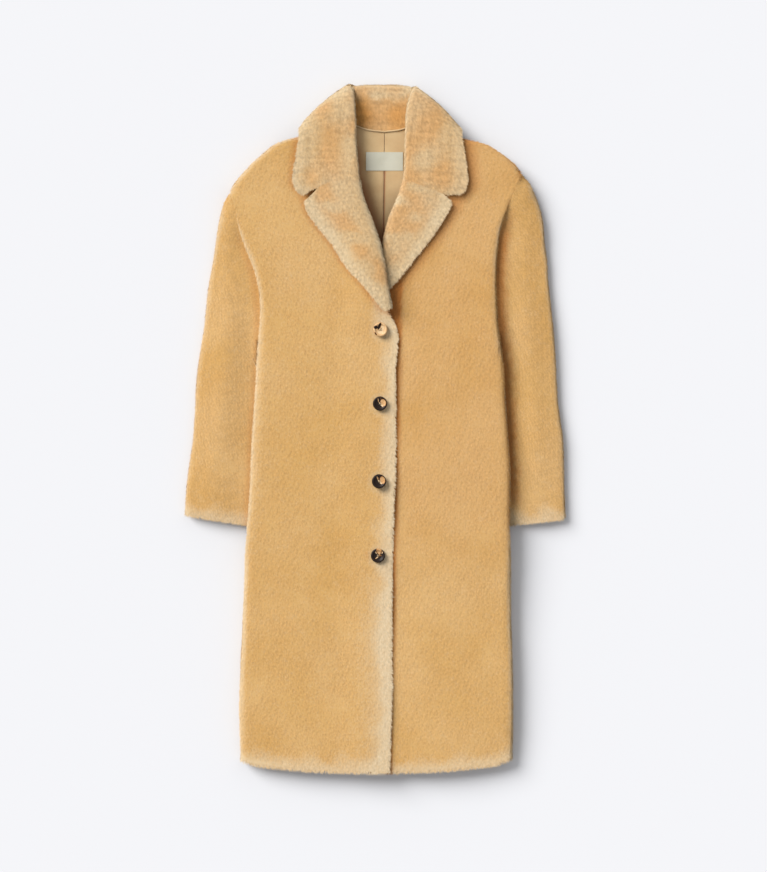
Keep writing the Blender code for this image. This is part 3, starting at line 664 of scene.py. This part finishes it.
def pile(name, sheet, material, flow, weight, pale, warm, length=6.0, breadth=1.3, lie=14.0, stray=12.0,
         tousle=4.0, tuft=4.0, clump=0.12, uneven=5.0, streak=0.32):
    """Blades of pile on a sheet: triangles spread by area and `weight`. Each leans out of the ground by `lie`
    degrees, give or take `uneven`, along `flow`, turned by soft fields of 70 mm and of `tuft`, as far as `tousle`,
    and by a `stray` angle. `clump` lifts and sinks tufts, and `streak` tells their tones apart. A blade's normal is
    mostly the ground's, drawn up to the sky, as light that has passed through many fibres shows it."""
    count, seed = BLADES[sheet["kind"]], PILE_SEED[sheet["kind"]]
    rng = np.random.default_rng(seed)
    ground, normal, flow, heavy, pale, warm = (
        round_closed(values, sheet["ring"]) for values in (sheet["ground"], sheet["normal"], flow, weight, pale, warm))
    corner = [(slice(None, -1), slice(None, -1)), (slice(None, -1), slice(1, None)),
              (slice(1, None), slice(None, -1)), (slice(1, None), slice(1, None))]
    area = np.linalg.norm(np.cross(ground[corner[3]] - ground[corner[0]], ground[corner[2]] - ground[corner[1]]),
                          axis=-1)
    share = (area * sum(heavy[c] for c in corner)).ravel()
    cell = np.searchsorted(np.cumsum(share) / share.sum(), rng.random(count)).clip(0, share.size - 1)
    a, b = rng.random((2, count))
    parts = ((1 - a) * (1 - b), a * (1 - b), (1 - a) * b, a * b)

    def at(values):
        """These values at each blade's root, from its cell's corners."""
        flat = [values[c].reshape(share.size, -1)[cell] for c in corner]
        return sum(part[:, None] * one for part, one in zip(parts, flat))

    root, normal, lay = at(ground), unit(at(normal)), at(flow)
    pale, warm = at(pale[..., None]), at(warm[..., None])
    lay = unit(lay - normal * np.sum(lay * normal, axis=1, keepdims=True))
    side = np.cross(normal, lay)
    heading = np.radians(4.0 * field(root, 70.0, seed + 1) + tousle * field(root, tuft, seed + 2)
                         + stray * rng.normal(size=count))
    lean = np.radians(lie + 2 * field(root, 50.0, seed + 3) + 0.5 * tousle * field(root, 0.8 * tuft, seed + 4)
                      + uneven * rng.normal(size=count) + 16 * ease(0.8, 0.1, np.abs(normal[:, 2]))).clip(0.12, 1.2)
    plan = lay * np.cos(heading)[:, None] + side * np.sin(heading)[:, None]
    blade = plan * np.cos(lean)[:, None] + normal * np.sin(lean)[:, None]
    roll = np.radians(14.0) * rng.normal(size=count)
    flat = np.cross(normal, plan)
    flat = flat * np.cos(roll)[:, None] + np.cross(blade, flat) * np.sin(roll)[:, None]
    size = length * (1 + 0.06 * field(root, tuft, seed + 5) + 0.12 * rng.normal(size=count)).clip(0.5, 1.5)
    size = size * (0.5 + 0.5 * ease(-0.6, 0.4, normal[:, 2]))
    half = flat * breadth / 2 * rng.uniform(0.7, 1.2, count)[:, None]
    foot = root + normal * (clump * field(root, tuft, seed + 6) - 0.5)[:, None]
    points = np.stack([foot - half, foot + half, foot + blade * size[:, None]], axis=1)
    points[..., 2] = np.maximum(points[..., 2], LOWEST)
    faces = np.arange(count * 3).reshape(count, 3)
    own = unit(np.cross(points[:, 1] - points[:, 0], points[:, 2] - points[:, 0]))
    turned_in = np.sum(own * normal, axis=1) < 0
    faces[turned_in] = faces[turned_in][:, ::-1]
    own[turned_in] *= -1
    shown = np.repeat(to_sky(unit(SOFT_NORMAL * normal + (1 - SOFT_NORMAL) * own)), 3, axis=0)
    tone = np.ones((count, 3, 4))
    tone[..., 0] = [0.0, 0.0, 1.0]
    # second tone: paleness, painted highlight included; fourth: painted fold shade
    tone[..., 1] = pale + 0.03 * field(root, 16.0, seed + 7)[:, None]
    tone[..., 2] = (0.5 + streak * field(root, tuft, seed + 8) + 0.5 * (rng.random(count) - 0.5)).clip(0, 1)[:, None]
    tone[..., 3] = warm
    return new_mesh(name, points.reshape(-1, 3), faces, [material], tone.reshape(-1, 4), normals=shown)


def linear(colour):
    """An sRGB hex colour as linear light with alpha."""
    value = np.array([int(colour[i:i + 2], 16) for i in (1, 3, 5)]) / 255
    return (*np.where(value > 0.04045, ((value + 0.055) / 1.055) ** 2.4, value / 12.92), 1.0)


def add(tree, kind, inputs=(), **settings):
    """Adds a node with its own settings; inputs maps a socket's name or number to a value or to another socket."""
    made = tree.nodes.new(kind)
    for key, value in settings.items():
        setattr(made, key, value)
    for key, value in dict(inputs).items():
        if isinstance(value, bpy.types.NodeSocket):
            tree.links.new(value, made.inputs[key])
        else:
            made.inputs[key].default_value = value
    return made


def new_material(name, **constants):
    """A material with one Principled shader, whose constant sockets are set here."""
    material = bpy.data.materials.new(name)
    material.use_nodes = True
    shader = material.node_tree.nodes["Principled BSDF"]
    for key, value in constants.items():
        shader.inputs[key.replace("_", " ").title().replace("Ior", "IOR")].default_value = value
    return material, material.node_tree, shader


def mix(tree, factor, a, b, **settings):
    """A colour between a and b."""
    node = add(tree, "ShaderNodeMix", {0: factor, 6: a, 7: b}, data_type="RGBA", **settings)
    return node.outputs[2]


def texture(tree, kind, scale, detail=None, settings=None, **inputs):
    """A procedural pattern in the piece's own coordinates, in metres."""
    place = add(tree, "ShaderNodeTexCoord").outputs["Object"]
    inputs = {"Vector": place, "Scale": scale, **inputs, **({} if detail is None else {"Detail": detail})}
    return add(tree, f"ShaderNodeTex{kind}", inputs, **(settings or {})).outputs


def rescaled(tree, value, low, high, to_low=0.0, to_high=1.0):
    """A value from the span low to high onto another, and held inside it."""
    return add(tree, "ShaderNodeMapRange", {0: value, 1: low, 2: high, 3: to_low, 4: to_high}).outputs[0]


def tones(tree):
    """The four tones that a mesh gives at each of its points."""
    given = add(tree, "ShaderNodeAttribute", attribute_name="pile").outputs
    return [*add(tree, "ShaderNodeSeparateColor", {0: given["Color"]}).outputs, given["Alpha"]]


def bumped(tree, shader, height, strength, distance):
    """Gives a surface a fine relief."""
    rise = add(tree, "ShaderNodeBump", {"Strength": strength, "Distance": distance, "Height": height})
    tree.links.new(rise.outputs[0], shader.inputs["Normal"])


def faux_fur(name, deep, shut, warm, ground, pale, spread):
    """Knitted acrylic pile, brushed and sheared: a dull fibre with a soft sheen, deeper in colour down at its
    roots, warmer and paler by turns where the nap lies over, palest where an edge opens it, a painted highlight
    where the cloth turns down, and the `shut` colour, a painted orange-brown shade, in folds and beside pieces
    that lie over it, standing in for light that comes back through the fibres."""
    material, tree, shader = new_material(name, roughness=0.9, specular_ior_level=0.25, sheen_weight=0.2,
                                          sheen_roughness=0.5, sheen_tint=linear("#FFE9C4"))
    root, opened, own, painted_fold_shade = tones(tree)
    patch = rescaled(tree, texture(tree, "Noise", 9.0, 2.0, Roughness=0.4)[0], 0.3, 0.65)
    fleck = rescaled(tree, texture(tree, "Noise", 300.0, 2.0, Roughness=0.6)[0], 0.3, 0.7, -0.1, 0.1)
    opened = add(tree, "ShaderNodeMath", {0: opened, 1: fleck}, operation="ADD", use_clamp=True).outputs[0]
    colour = mix(tree, patch, linear(warm), linear(ground))
    colour = mix(tree, rescaled(tree, root, 0.0, 0.6, 0.55, 1.0), linear(deep), colour)
    colour = mix(tree, opened, colour, linear(pale))
    # painted shade: the fourth tone mixes in the orange-brown shade colour
    colour = mix(tree, painted_fold_shade, colour, linear(shut))
    own = rescaled(tree, own, 0.0, 1.0, 1 - spread, 1 + spread)
    colour = mix(tree, 1.0, colour, own, blend_type="MULTIPLY")
    tree.links.new(colour, shader.inputs["Base Color"])
    return material


def suede(name):
    """Faux suede backing, flocked polyester: matt, with a faint short nap that marks where it was touched, and
    a deep brown beside the roll, painted shade standing in for light that comes off other brown cloth."""
    material, tree, shader = new_material(name, roughness=0.95, specular_ior_level=0.2, sheen_weight=0.3,
                                          sheen_roughness=0.6)
    tone = rescaled(tree, texture(tree, "Noise", 35.0, 4.0)[0], 0.3, 0.7)
    colour = mix(tree, tone, linear("#A88A61"), linear("#B3986F"))
    # painted shade: the first tone mixes in the deep brown
    tree.links.new(mix(tree, tones(tree)[0], colour, linear("#804A22")), shader.inputs["Base Color"])
    bumped(tree, shader, texture(tree, "Noise", 900.0, 2.0)[0], 0.4, 0.0004)
    return material


def satin(name):
    """Woven polyester satin ribbon: fine ribs across, half a millimetre apart, drawn coarse enough to show."""
    material, tree, shader = new_material(name, roughness=0.55, specular_ior_level=0.4)
    ribs = texture(tree, "Wave", 310.0, 1.0, {"bands_direction": "Y"}, Distortion=0.4)[0]
    cloudy = texture(tree, "Noise", 40.0, 2.0)[0]
    tree.links.new(mix(tree, cloudy, linear("#9E9B8A"), linear("#B5B2A2")), shader.inputs["Base Color"])
    bumped(tree, shader, ribs, 0.25, 0.0002)
    return material


def mock_horn(name):
    """Cast polyester made to look like horn: near-black brown and clouds of amber and cream, polished."""
    material, tree, shader = new_material(name, roughness=0.45, specular_ior_level=0.2)
    wisp = rescaled(tree, texture(tree, "Noise", 420.0, 3.0, Distortion=0.8)[0], 0.3, 0.7, -0.12, 0.12)
    cloud = add(tree, "ShaderNodeMath", {0: tones(tree)[0], 1: wisp}, operation="ADD", use_clamp=True)
    ramp = add(tree, "ShaderNodeValToRGB", {0: cloud.outputs[0]})
    stops = ((0.15, "#1C110A"), (0.38, "#3A2110"), (0.58, "#9A6A38"), (0.80, "#B9956A"), (1.0, "#CBB591"))
    made = ramp.color_ramp.elements
    for end in (0, -1):
        made[end].position, made[end].color = stops[end][0], linear(stops[end][1])
    for position, colour in stops[1:-1]:
        made.new(position).color = linear(colour)
    tree.links.new(ramp.outputs[0], shader.inputs["Base Color"])
    return material


def thread(name):
    """Twisted polyester sewing thread, waxed: a dull brown with a slight gloss."""
    material, tree, shader = new_material(name, roughness=0.6, specular_ior_level=0.4)
    ply = texture(tree, "Wave", 600.0, None, {"bands_direction": "DIAGONAL"})[1]
    tree.links.new(mix(tree, ply, linear("#7E6A4E"), linear("#A79474")), shader.inputs["Base Color"])
    return material


# each pile's colours: roots, painted fold shade, warm patches, ground, opened edges; then the spread of its tone
PLUSH = faux_fur("sheared_acrylic_pile", "#976735", "#A2672F", "#B18B51", "#B79460", "#BEB198", 0.15)
PLUSH_PALE = faux_fur("brushed_acrylic_pile", "#A48357", "#AF7D40", "#AA8B5E", "#B19771", "#BCAD90", 0.2)
SUEDE = suede("faux_suede_backing")
SATIN = satin("woven_satin_label")
HORN = mock_horn("mock_horn_polyester")
THREAD = thread("polyester_thread")


def flow_of(sheet, across, down, splay=0.7, reach=(0.0, 12.0)):
    """The nap as vectors: a steady lay, which turns outwards at the free edges."""
    rows = across * sheet["across"] + down * sheet["down"]
    first, last, left, right = (splay * (1 - ease(*reach, d))[..., None] for d in sheet["edges"])
    rows = rows + sheet["down"] * (last - first)
    return rows if sheet["ring"] else rows + sheet["across"] * (right - left)


def worn_weight(sheet, under=0.12):
    """Pile is thick where it shows and thin where the coat lies on it."""
    return under + (1 - under) * ease(-0.75, -0.2, sheet["rise"])


def edge_pale(sheet, base=0.0, reach=26.0, amount=0.5, seed=3):
    """How pale the pile is: opened along the free edges, with an uneven border, and a painted highlight where the
    cloth turns down.
    """
    wander = reach * (1 + 0.22 * field(sheet["ground"], 45.0, seed)).clip(0.4, 2.0)
    # painted highlight where the cloth turns away from the top
    rim = 0.45 * ease(0.97, 0.4, np.abs(sheet["rise"]))
    return base + rim + amount * (1 - ease(0.0, 1.3, sheet["free"] / wander))


def dress(node, sheet, materials, slot, flow, weight, pale, warm=0.0, shade=0.0, **how):
    """A node's shell and its pile, in place of the node's part, which is hidden."""
    warm, shade, pale = warm + 0 * pale, shade + 0 * pale, np.minimum(pale, PALEST)
    worn = shell(node + "_plush", sheet, materials, pale, warm, shade)
    hair = pile(node + "_pile", sheet, materials[0], flow, weight, pale, warm, **how)
    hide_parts(node)
    hair.visible_shadow = False  # light passes through the pile's fibres


def folded_over(side, x, up):
    """Distance out from the lapel's and the collar's edges, in the plan, at each height."""
    line = [(row[3], row[2]) for row in LAPEL[side][:-1]] + [(row[4], row[3]) for row in COLLAR[side][:5:-1]]
    ups, xs = np.array(sorted(line)).T
    return SIGN[side] * (x - np.interp(up, ups, xs)) + 60.0 * ease(ups[0], ups[0] - 30, up)


def clear_of_buttons(points):
    """0 under a button and along its buttonhole's end, 1 away from them."""
    clear = np.ones(points.shape[:-1])
    for x, up, _, _ in BUTTON_PLACES:
        dx, dup = points[..., 0] - x, points[..., 1] - up
        clear = clear * ease(0.85, 1.0, np.hypot(dx, dup) / BUTTON_RADIUS)
    return clear


def make_front(side):
    """A front, whose rows run from hem to neck, and columns from the side in."""
    front = cloth("front", front_grid(side), -SIGN[side], (FREE_RIM, SEWN_RIM, SEWN_RIM, FREE_RIM),
                  creases=CREASES[f"front_{side}"], step=6.0)
    x, up = front["x"], front["up"]
    weight, pale = worn_weight(front), edge_pale(front)
    beside, seam = folded_over(side, x, up), front["edges"][2]
    if side == "right":
        strip = front["edges"][3]
        pale = pale + 0.12 * ease(42, 10, strip) * ease(830, 760, up)
        pale = pale + 0.24 * ease(76, 10, strip) * ease(420, 250, up)
        # painted highlight along the side and armhole edge, which faces the light
        pale = pale + 0.1 * ease(34, 6, seam) * ease(960, 900, up) * (0.5 + 0.5 * ease(380, 460, up))
        weight = weight * clear_of_buttons(front["ground"])
        # painted shade on the front beside the lapel's and the collar's edges; the bells below add a pale ring round
        # each button and a dark mark at its buttonhole's end
        warm = 0.5 * ease(16, 2, beside)
        for bx, bup, _, _ in BUTTON_PLACES:
            pale = pale + 0.25 * bell(np.hypot(x - bx, up - bup), 15.0, 4.0)
            warm = warm + 0.7 * bell(np.hypot(x - bx + 19.5, (up - bup - 4.0) / 1.5), 0.0, 1.8)
    else:
        below, open_side = ease(870, 850, up), ease(400, 460, up)
        weight = weight * (0.1 + 0.9 * ease(8.0, 24.0, x))
        # painted shadow of the over front's edge on this front, a warmer tone higher up, and painted shade beside the
        # lapel's and the collar's edges
        warm = ease(8, 1, x - 24.5 - 0.0225 * up) * below + 0.12 * ease(300, 500, up) + 0.55 * ease(36, 4, beside)
        # at the armhole edge, which turns away from the light: no opened paleness, and painted shade where it turns
        # down
        pale = pale * (1 - open_side * ease(20, 8, seam))
        warm = warm + 0.5 * open_side * ease(8, 1, seam) * ease(0.95, 0.6, front["rise"])
    dress(f"front_{side}", front, [PLUSH, SUEDE], "plush", flow_of(front, 0.0, -1.0), weight, pale, warm,
          breadth=1.6, tousle=6.0)


def make_back(side):
    """A back, as a front, with its suede side up: darker beside the roll, as painted shade, and along the centre-back
    seam.
    """
    back = cloth("back", back_grid(side), SIGN[side], (FREE_RIM, SEWN_RIM, SEWN_RIM, SEWN_RIM))
    x, up = back["x"], back["up"]
    # painted shade beside the right front's roll line, where the roll shades the suede
    shade = ease(30, 0, x - through(INNER["right"], up) - INSET)
    shade = shade + {"right": 0.3, "left": 1.0}[side] * bell(back["edges"][3], 0.5, 2.0) * (up < LABEL_UP[0])
    shade = 0.94 * np.minimum(shade, 1.0) * ease(800, 830, up)
    dress(f"back_{side}", back, [PLUSH, SUEDE], "plush", flow_of(back, 0.0, -1.0, splay=0.0),
          worn_weight(back), edge_pale(back), shade=shade)


def make_sleeve(side):
    """A sleeve, with painted orange-brown shade in the fold beside the armhole, whose border is ragged and which fades
    out above the cuff.
    """
    sleeve = cloth("sleeve", sleeve_grid(side), SIGN[side], (SEWN_RIM, FREE_RIM, 0, 0), ring=True,
                   creases=CREASES[f"sleeve_{side}"])
    off, high = -from_edge(side, sleeve["x"], sleeve["up"]), ARMHOLE[side][1]
    at_cuff = ease(*CUFF, sleeve["up"])
    ragged = off + 2.5 * field(sleeve["ground"], 13.0, 5)
    # painted shade in the fold beside the armhole: slight on the right sleeve, deep on the left
    fold = {"right": 0.3 * ease(12, 0, off), "left": 0.85 * ease(24, 6, ragged) * at_cuff}[side]
    dress(f"sleeve_{side}", sleeve, [PLUSH, SUEDE], "plush", flow_of(sleeve, 0.0, 1.0), worn_weight(sleeve),
          edge_pale(sleeve) * (1 - ease(20, 5, off) * at_cuff), fold * ease(high - 50, high - 130, sleeve["up"]),
          streak=0.38)


def make_lapel(side):
    """A lapel, with warm patches away from its edge, and on the right one away from the roll too."""
    lapel = cloth("facing", lapel_grid(side), SIGN[side], (SEWN_RIM, SEWN_RIM, SEWN_RIM, FREE_RIM), step=4.0)
    warm = 0.45 * ease(12, 34, lapel["free"]) * (0.85 + 0.7 * field(lapel["ground"], 38.0, 9)).clip(0, 1)
    warm = warm * (ease(66, 46, lapel["free"]) if side == "right" else 1.0)
    dress(f"facing_{side}", lapel, [PLUSH_PALE, SUEDE], "plush_light", flow_of(lapel, 0.25, -1.0),
          worn_weight(lapel), edge_pale(lapel, base=0.18, reach=24.0, amount=0.35), warm, tousle=8.0, **LONG_PILE)


def make_collar():
    """The collar, with painted shade inside the back of the neck and on the leaf at the wearer's left, and paler along
    its top.
    """
    collar = cloth("collar", collar_grid(), -1.0, (SEWN_RIM, SEWN_RIM, SEWN_RIM, FREE_RIM), step=4.0)
    x, up, rise = collar["x"], collar["up"], collar["rise"]
    middle = np.abs(collar["v"] - collar["v"][-1:] / 2)
    top = ease(1168, 1198, up + 5.0 * field(collar["ground"], 25.0, 8))
    inside = ease(82, 64, middle) * ease(76, 60, collar["u"]) * (1 - top)
    # painted shade inside the back of the neck, and warm patches away from the free edge
    warm = 0.5 * inside + 0.24 * ease(12, 40, collar["free"]) * (1 + 0.8 * field(collar["ground"], 55.0, 7)).clip(0, 2)
    warm = warm * ease(0.2, 0.7, rise)
    # the leaf at the wearer's left is less pale, as painted shade
    pale = edge_pale(collar, base=0.15, amount=0.35) * (1 - inside) * (1 - 0.5 * ease(70, 120, x)) + 0.2 * top
    flow = collar["across"] * 0.5 * ease(14, 0, collar["free"])[..., None] - [0.0, 1.0, 0.0]
    flow[..., 0] += 0.35 * np.sign(x - NECK_CENTRE[0])
    dress("collar", collar, [PLUSH_PALE, SUEDE], "plush_light", flow, 0.02 + ease(-0.95, -0.5, rise), pale, warm,
          tousle=7.0, **LONG_PILE)


def make_cloth():
    """Every piece of cloth."""
    for side in ("right", "left"):
        for make in (make_front, make_back, make_sleeve, make_lapel):
            make(side)
    make_collar()


# x and up of each crease's two ends, its reach across, and its height.
CREASES = {
    "front_right": ((-73, 850, -66, 500, 15, -1.5), (-65, 520, -58, 20, 15, -1.2), (-45, 720, -40, 540, 15, 0.8)),
    "front_left": ((120, 900, 100, 640, 22, -0.9), (60, 700, 64, 500, 14, 0.7)),
    "sleeve_right": ((-262, 880, -300, 560, 18, 1.0), (-250, 760, -268, 520, 12, -1.0)),
    "sleeve_left": ((262, 880, 306, 560, 18, 1.0), (246, 760, 270, 520, 12, -1.0)),
}

# Each button's clouds: x, up, half width, half height, clockwise turn in degrees, how pale. First the base.
CLOUDS = {
    "button_1": ((0, 0, 99, 99, 0, 0.80), (-1.6, 5.8, 2.3, 6.6, 22, 0.05), (-8.0, 3.8, 3.6, 3.0, 0, 0.05),
                 (-8.2, -7.4, 1.3, 3.4, -38, 0.42), (3.5, 1.0, 2.6, 6.0, 20, 0.92), (0, -4.5, 5.0, 3.0, 0, 0.9)),
    "button_2": ((0, 0, 99, 99, 0, 0.06), (5.6, 1.6, 5.2, 6.6, -20, 0.72), (-3.0, 6.0, 0.9, 3.4, -12, 0.8),
                 (1.6, -1.6, 1.3, 6.0, -42, 0.97), (1.0, 8.4, 1.9, 2.0, 0, 0.35)),
    "button_3": ((0, 0, 99, 99, 0, 0.06), (6.0, 2.2, 4.8, 6.8, -14, 0.70), (-2.6, 6.0, 1.2, 3.2, -20, 0.75),
                 (1.4, -1.0, 1.4, 5.6, -42, 0.97), (1.6, 8.2, 1.8, 2.2, 0, 0.32)),
    "button_4": ((0, 0, 99, 99, 0, 0.05), (1.6, 8.8, 5.0, 5.6, 0, 0.66), (2.2, 4.4, 2.4, 3.0, 0, 0.74),
                 (-3.6, 5.2, 0.9, 2.6, -30, 0.97), (7.4, 5.2, 0.9, 2.2, 30, 0.97), (-0.4, -2.2, 1.0, 5.8, 50, 0.85),
                 (4.4, 0.2, 2.6, 1.0, 0, 0.5)),
}
BUTTON_PLACES = []
for _node in CLOUDS:
    _low, _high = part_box(_node)
    BUTTON_PLACES.append(((_low.x + _high.x) / 2 / MM + MIDDLE[0], (_low.y + _high.y) / 2 / MM + MIDDLE[1],
                          _low.z / MM, _high.z / MM))

# A button's section from the middle of its face to the middle of its underside: radius, and share of its height.
BUTTON_PROFILE = (
    (0.0, 0.52), (2.0, 0.52), (4.4, 0.53), (6.6, 0.58), (8.0, 0.70), (8.8, 0.86), (9.6, 0.97), (10.6, 1.0),
    (11.6, 0.93), (12.3, 0.74), (12.5, 0.52), (12.3, 0.30), (11.7, 0.12), (10.6, 0.02), (9.0, 0.0), (0.0, 0.0),
)
HOLE_FROM_CENTRE, HOLE_RADIUS, HOLE_DEPTH = 2.5, 1.0, 1.5


def clouded(clouds, dx, dup):
    """How pale a button is at each point: its clouds, each laid over those before it."""
    pale = 0 * dx
    for cx, cup, wide, tall, turn, value in clouds:
        turn = math.radians(turn)
        a = (dx - cx) * math.cos(turn) - (dup - cup) * math.sin(turn)
        b = (dx - cx) * math.sin(turn) + (dup - cup) * math.cos(turn)
        pale = pale + (value - pale) * ease(1.15, 0.8, np.hypot(a / wide, b / tall))
    return pale


def make_button(node, x, up, low, high, radius, share):
    """A turned disc with a raised rim and four holes, laced with two bars of thread."""
    angle = np.linspace(0, 2 * math.pi, 72, endpoint=False)
    dx, dup = radius[1:-1, None] * np.cos(angle), radius[1:-1, None] * np.sin(angle)
    z = low + (high - low) * share[1:-1, None] + 0 * dx
    for quarter in range(4):
        turn = math.radians(45 + 90 * quarter)
        away = np.hypot(dx - HOLE_FROM_CENTRE * math.cos(turn), dup - HOLE_FROM_CENTRE * math.sin(turn))
        z -= np.where(share[1:-1, None] > 0.5, HOLE_DEPTH, 0) * ease(HOLE_RADIUS, 0.6 * HOLE_RADIUS, away)
    pale = clouded(CLOUDS[node], dx, dup)
    points = np.stack([dx + x, dup + up, z], axis=-1).reshape(-1, 3)
    face = (x, up, low + (high - low) * share[0])
    points = np.concatenate([points, np.array([face, (x, up, low)])])
    rows, columns = dx.shape
    number = numbered(rows, columns)
    sides = quads(number, ring=True)[:, ::-1]
    sides = np.concatenate([sides[:, [0, 1, 2]], sides[:, [0, 2, 3]]])
    first, last = number[0], number[-1]
    caps = [np.stack([first, np.roll(first, -1), 0 * first + rows * columns], axis=-1),
            np.stack([np.roll(last, -1), last, 0 * last + rows * columns + 1], axis=-1)]
    tone = np.ones((len(points), 4))
    tone[:, 0] = np.concatenate([pale.ravel(), [pale[0].mean(), pale[-1].mean()]])
    disc = new_mesh(node + "_disc", points, np.concatenate([sides, *caps]), [HORN], tone)
    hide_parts(node)
    bars = [bar(face, math.radians(a)) for a in (45, 135)]
    faces = np.concatenate([bars[0][1], bars[1][1] + len(bars[0][0])])
    new_mesh(node + "_thread", np.concatenate([b[0] for b in bars]), faces, [THREAD])


def make_buttons():
    """All four, of one section, whose points are closest together on its face."""
    radius, share = np.array(BUTTON_PROFILE).T
    walk = np.concatenate([[0.0], np.cumsum(np.hypot(np.diff(radius), np.diff(share * BUTTON_THICK)))])
    fine = np.concatenate([np.linspace(0, walk[12], 56), np.linspace(walk[12], walk[-1], 6)[1:]])
    radius, share = np.interp(fine, walk, radius), np.interp(fine, walk, share)
    for node, place in zip(CLOUDS, BUTTON_PLACES):
        make_button(node, *place, radius, share)


def bar(centre, turn):
    """A bar of thread over a button's middle, from hole to hole: a tube of 0.45 mm on a low arch."""
    part = np.linspace(-1, 1, 15)
    path = np.stack([part * HOLE_FROM_CENTRE * math.cos(turn), part * HOLE_FROM_CENTRE * math.sin(turn),
                     0.75 - 1.5 * part**4], axis=-1) + centre
    side = np.array([-math.sin(turn), math.cos(turn), 0.0])
    return tube(path, side, 0.45, 8)


def tube(path, side, radius, around):
    """A closed tube along a path; `side` lies across it. Its ends are drawn to a point."""
    angle = np.linspace(0, 2 * math.pi, around, endpoint=False)
    forward = unit(np.gradient(path, axis=0))
    side = unit(np.broadcast_to(side, path.shape))
    lift = np.cross(forward, side)
    thick = np.full(len(path), radius)
    thick[[0, -1]] = 0.05 * radius
    rings = path[:, None] + thick[:, None, None] * (side[:, None] * np.cos(angle)[:, None]
                                                    + lift[:, None] * np.sin(angle)[:, None])
    return rings.reshape(-1, 3), quads(numbered(len(path), around), ring=True)


def make_neck():
    """The piping along the back neck seam, and the label."""
    neck = collar_grid()[:, 0]
    shown = neck[(neck[:, 0] > -48) & (neck[:, 0] < 82) & (neck[:, 1] > 1118)]
    path = shown + [0.0, -1.0, IN + 1.2]
    points, faces = tube(path, (0, 0, 1), 1.5, 10)
    piping = new_mesh("neck_piping", points, faces, [SUEDE])
    grid = label_grid()
    top = grid + [0, 0, LABEL_THICK / 2]
    rows, columns = grid.shape[:2]
    number = numbered(rows, columns)
    under = number + rows * columns
    edge = np.concatenate([number[0], number[1:, -1], number[-1, -2::-1], number[-2:0:-1, 0]])
    rim = np.stack([edge, edge + rows * columns, np.roll(edge, -1) + rows * columns, np.roll(edge, -1)], axis=-1)
    points = np.concatenate([top.reshape(-1, 3), (grid - [0, 0, LABEL_THICK / 2]).reshape(-1, 3)])
    faces = np.concatenate([quads(number), quads(under)[:, ::-1], rim])
    label = new_mesh("label_ribbon", points, faces, [SATIN])
    label.data.polygons.foreach_set("use_smooth", np.zeros(len(faces), bool))
    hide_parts("label")


make_cloth()
make_buttons()
make_neck()


def stage():
    """A plain pale floor, soft light from the upper left and all round, and the camera straight above."""
    floor = bpy.data.meshes.new("floor")
    corners = [(x * FLOOR_HALF, y * FLOOR_HALF, FLOOR_LEVEL) for x, y in ((-1, -1), (1, -1), (1, 1), (-1, 1))]
    floor.from_pydata(corners, [], [(0, 1, 2, 3)])
    floor.materials.append(new_material("matt_board", roughness=1.0, specular_ior_level=0.0,
                                        base_color=linear("#C7C7C9"))[0])
    plane = bpy.data.objects.new("floor", floor)
    bpy.context.scene.collection.objects.link(plane)
    world = bpy.data.worlds.new("studio")
    bpy.context.scene.world = world
    world.use_nodes = True
    sky = world.node_tree.nodes["Background"].inputs
    sky["Color"].default_value, sky["Strength"].default_value = linear("#F7F8FA"), SKY_STRENGTH
    lamp = bpy.data.lights.new("key", "SUN")
    lamp.energy, lamp.angle = SUN_STRENGTH, math.radians(SUN_WIDTH)
    key = bpy.data.objects.new("key", lamp)
    key.rotation_euler = mathutils.Vector(SUN_TOWARDS).to_track_quat("-Z", "Y").to_euler()
    bpy.context.scene.collection.objects.link(key)
    camera = bpy.data.cameras.new("camera")
    camera.lens = LENS
    seen = bpy.data.objects.new("camera", camera)
    distance = PICTURE_HIGH * PIXEL * MM * camera.lens / camera.sensor_width
    seen.location = (*((at - middle) * MM for at, middle in zip(PICTURE_MIDDLE, MIDDLE)), distance + MEAN_HEIGHT)
    camera.clip_end = 50.0
    bpy.context.scene.collection.objects.link(seen)
    bpy.context.scene.camera = seen
    bpy.context.scene.view_settings.view_transform = "Standard"


stage()
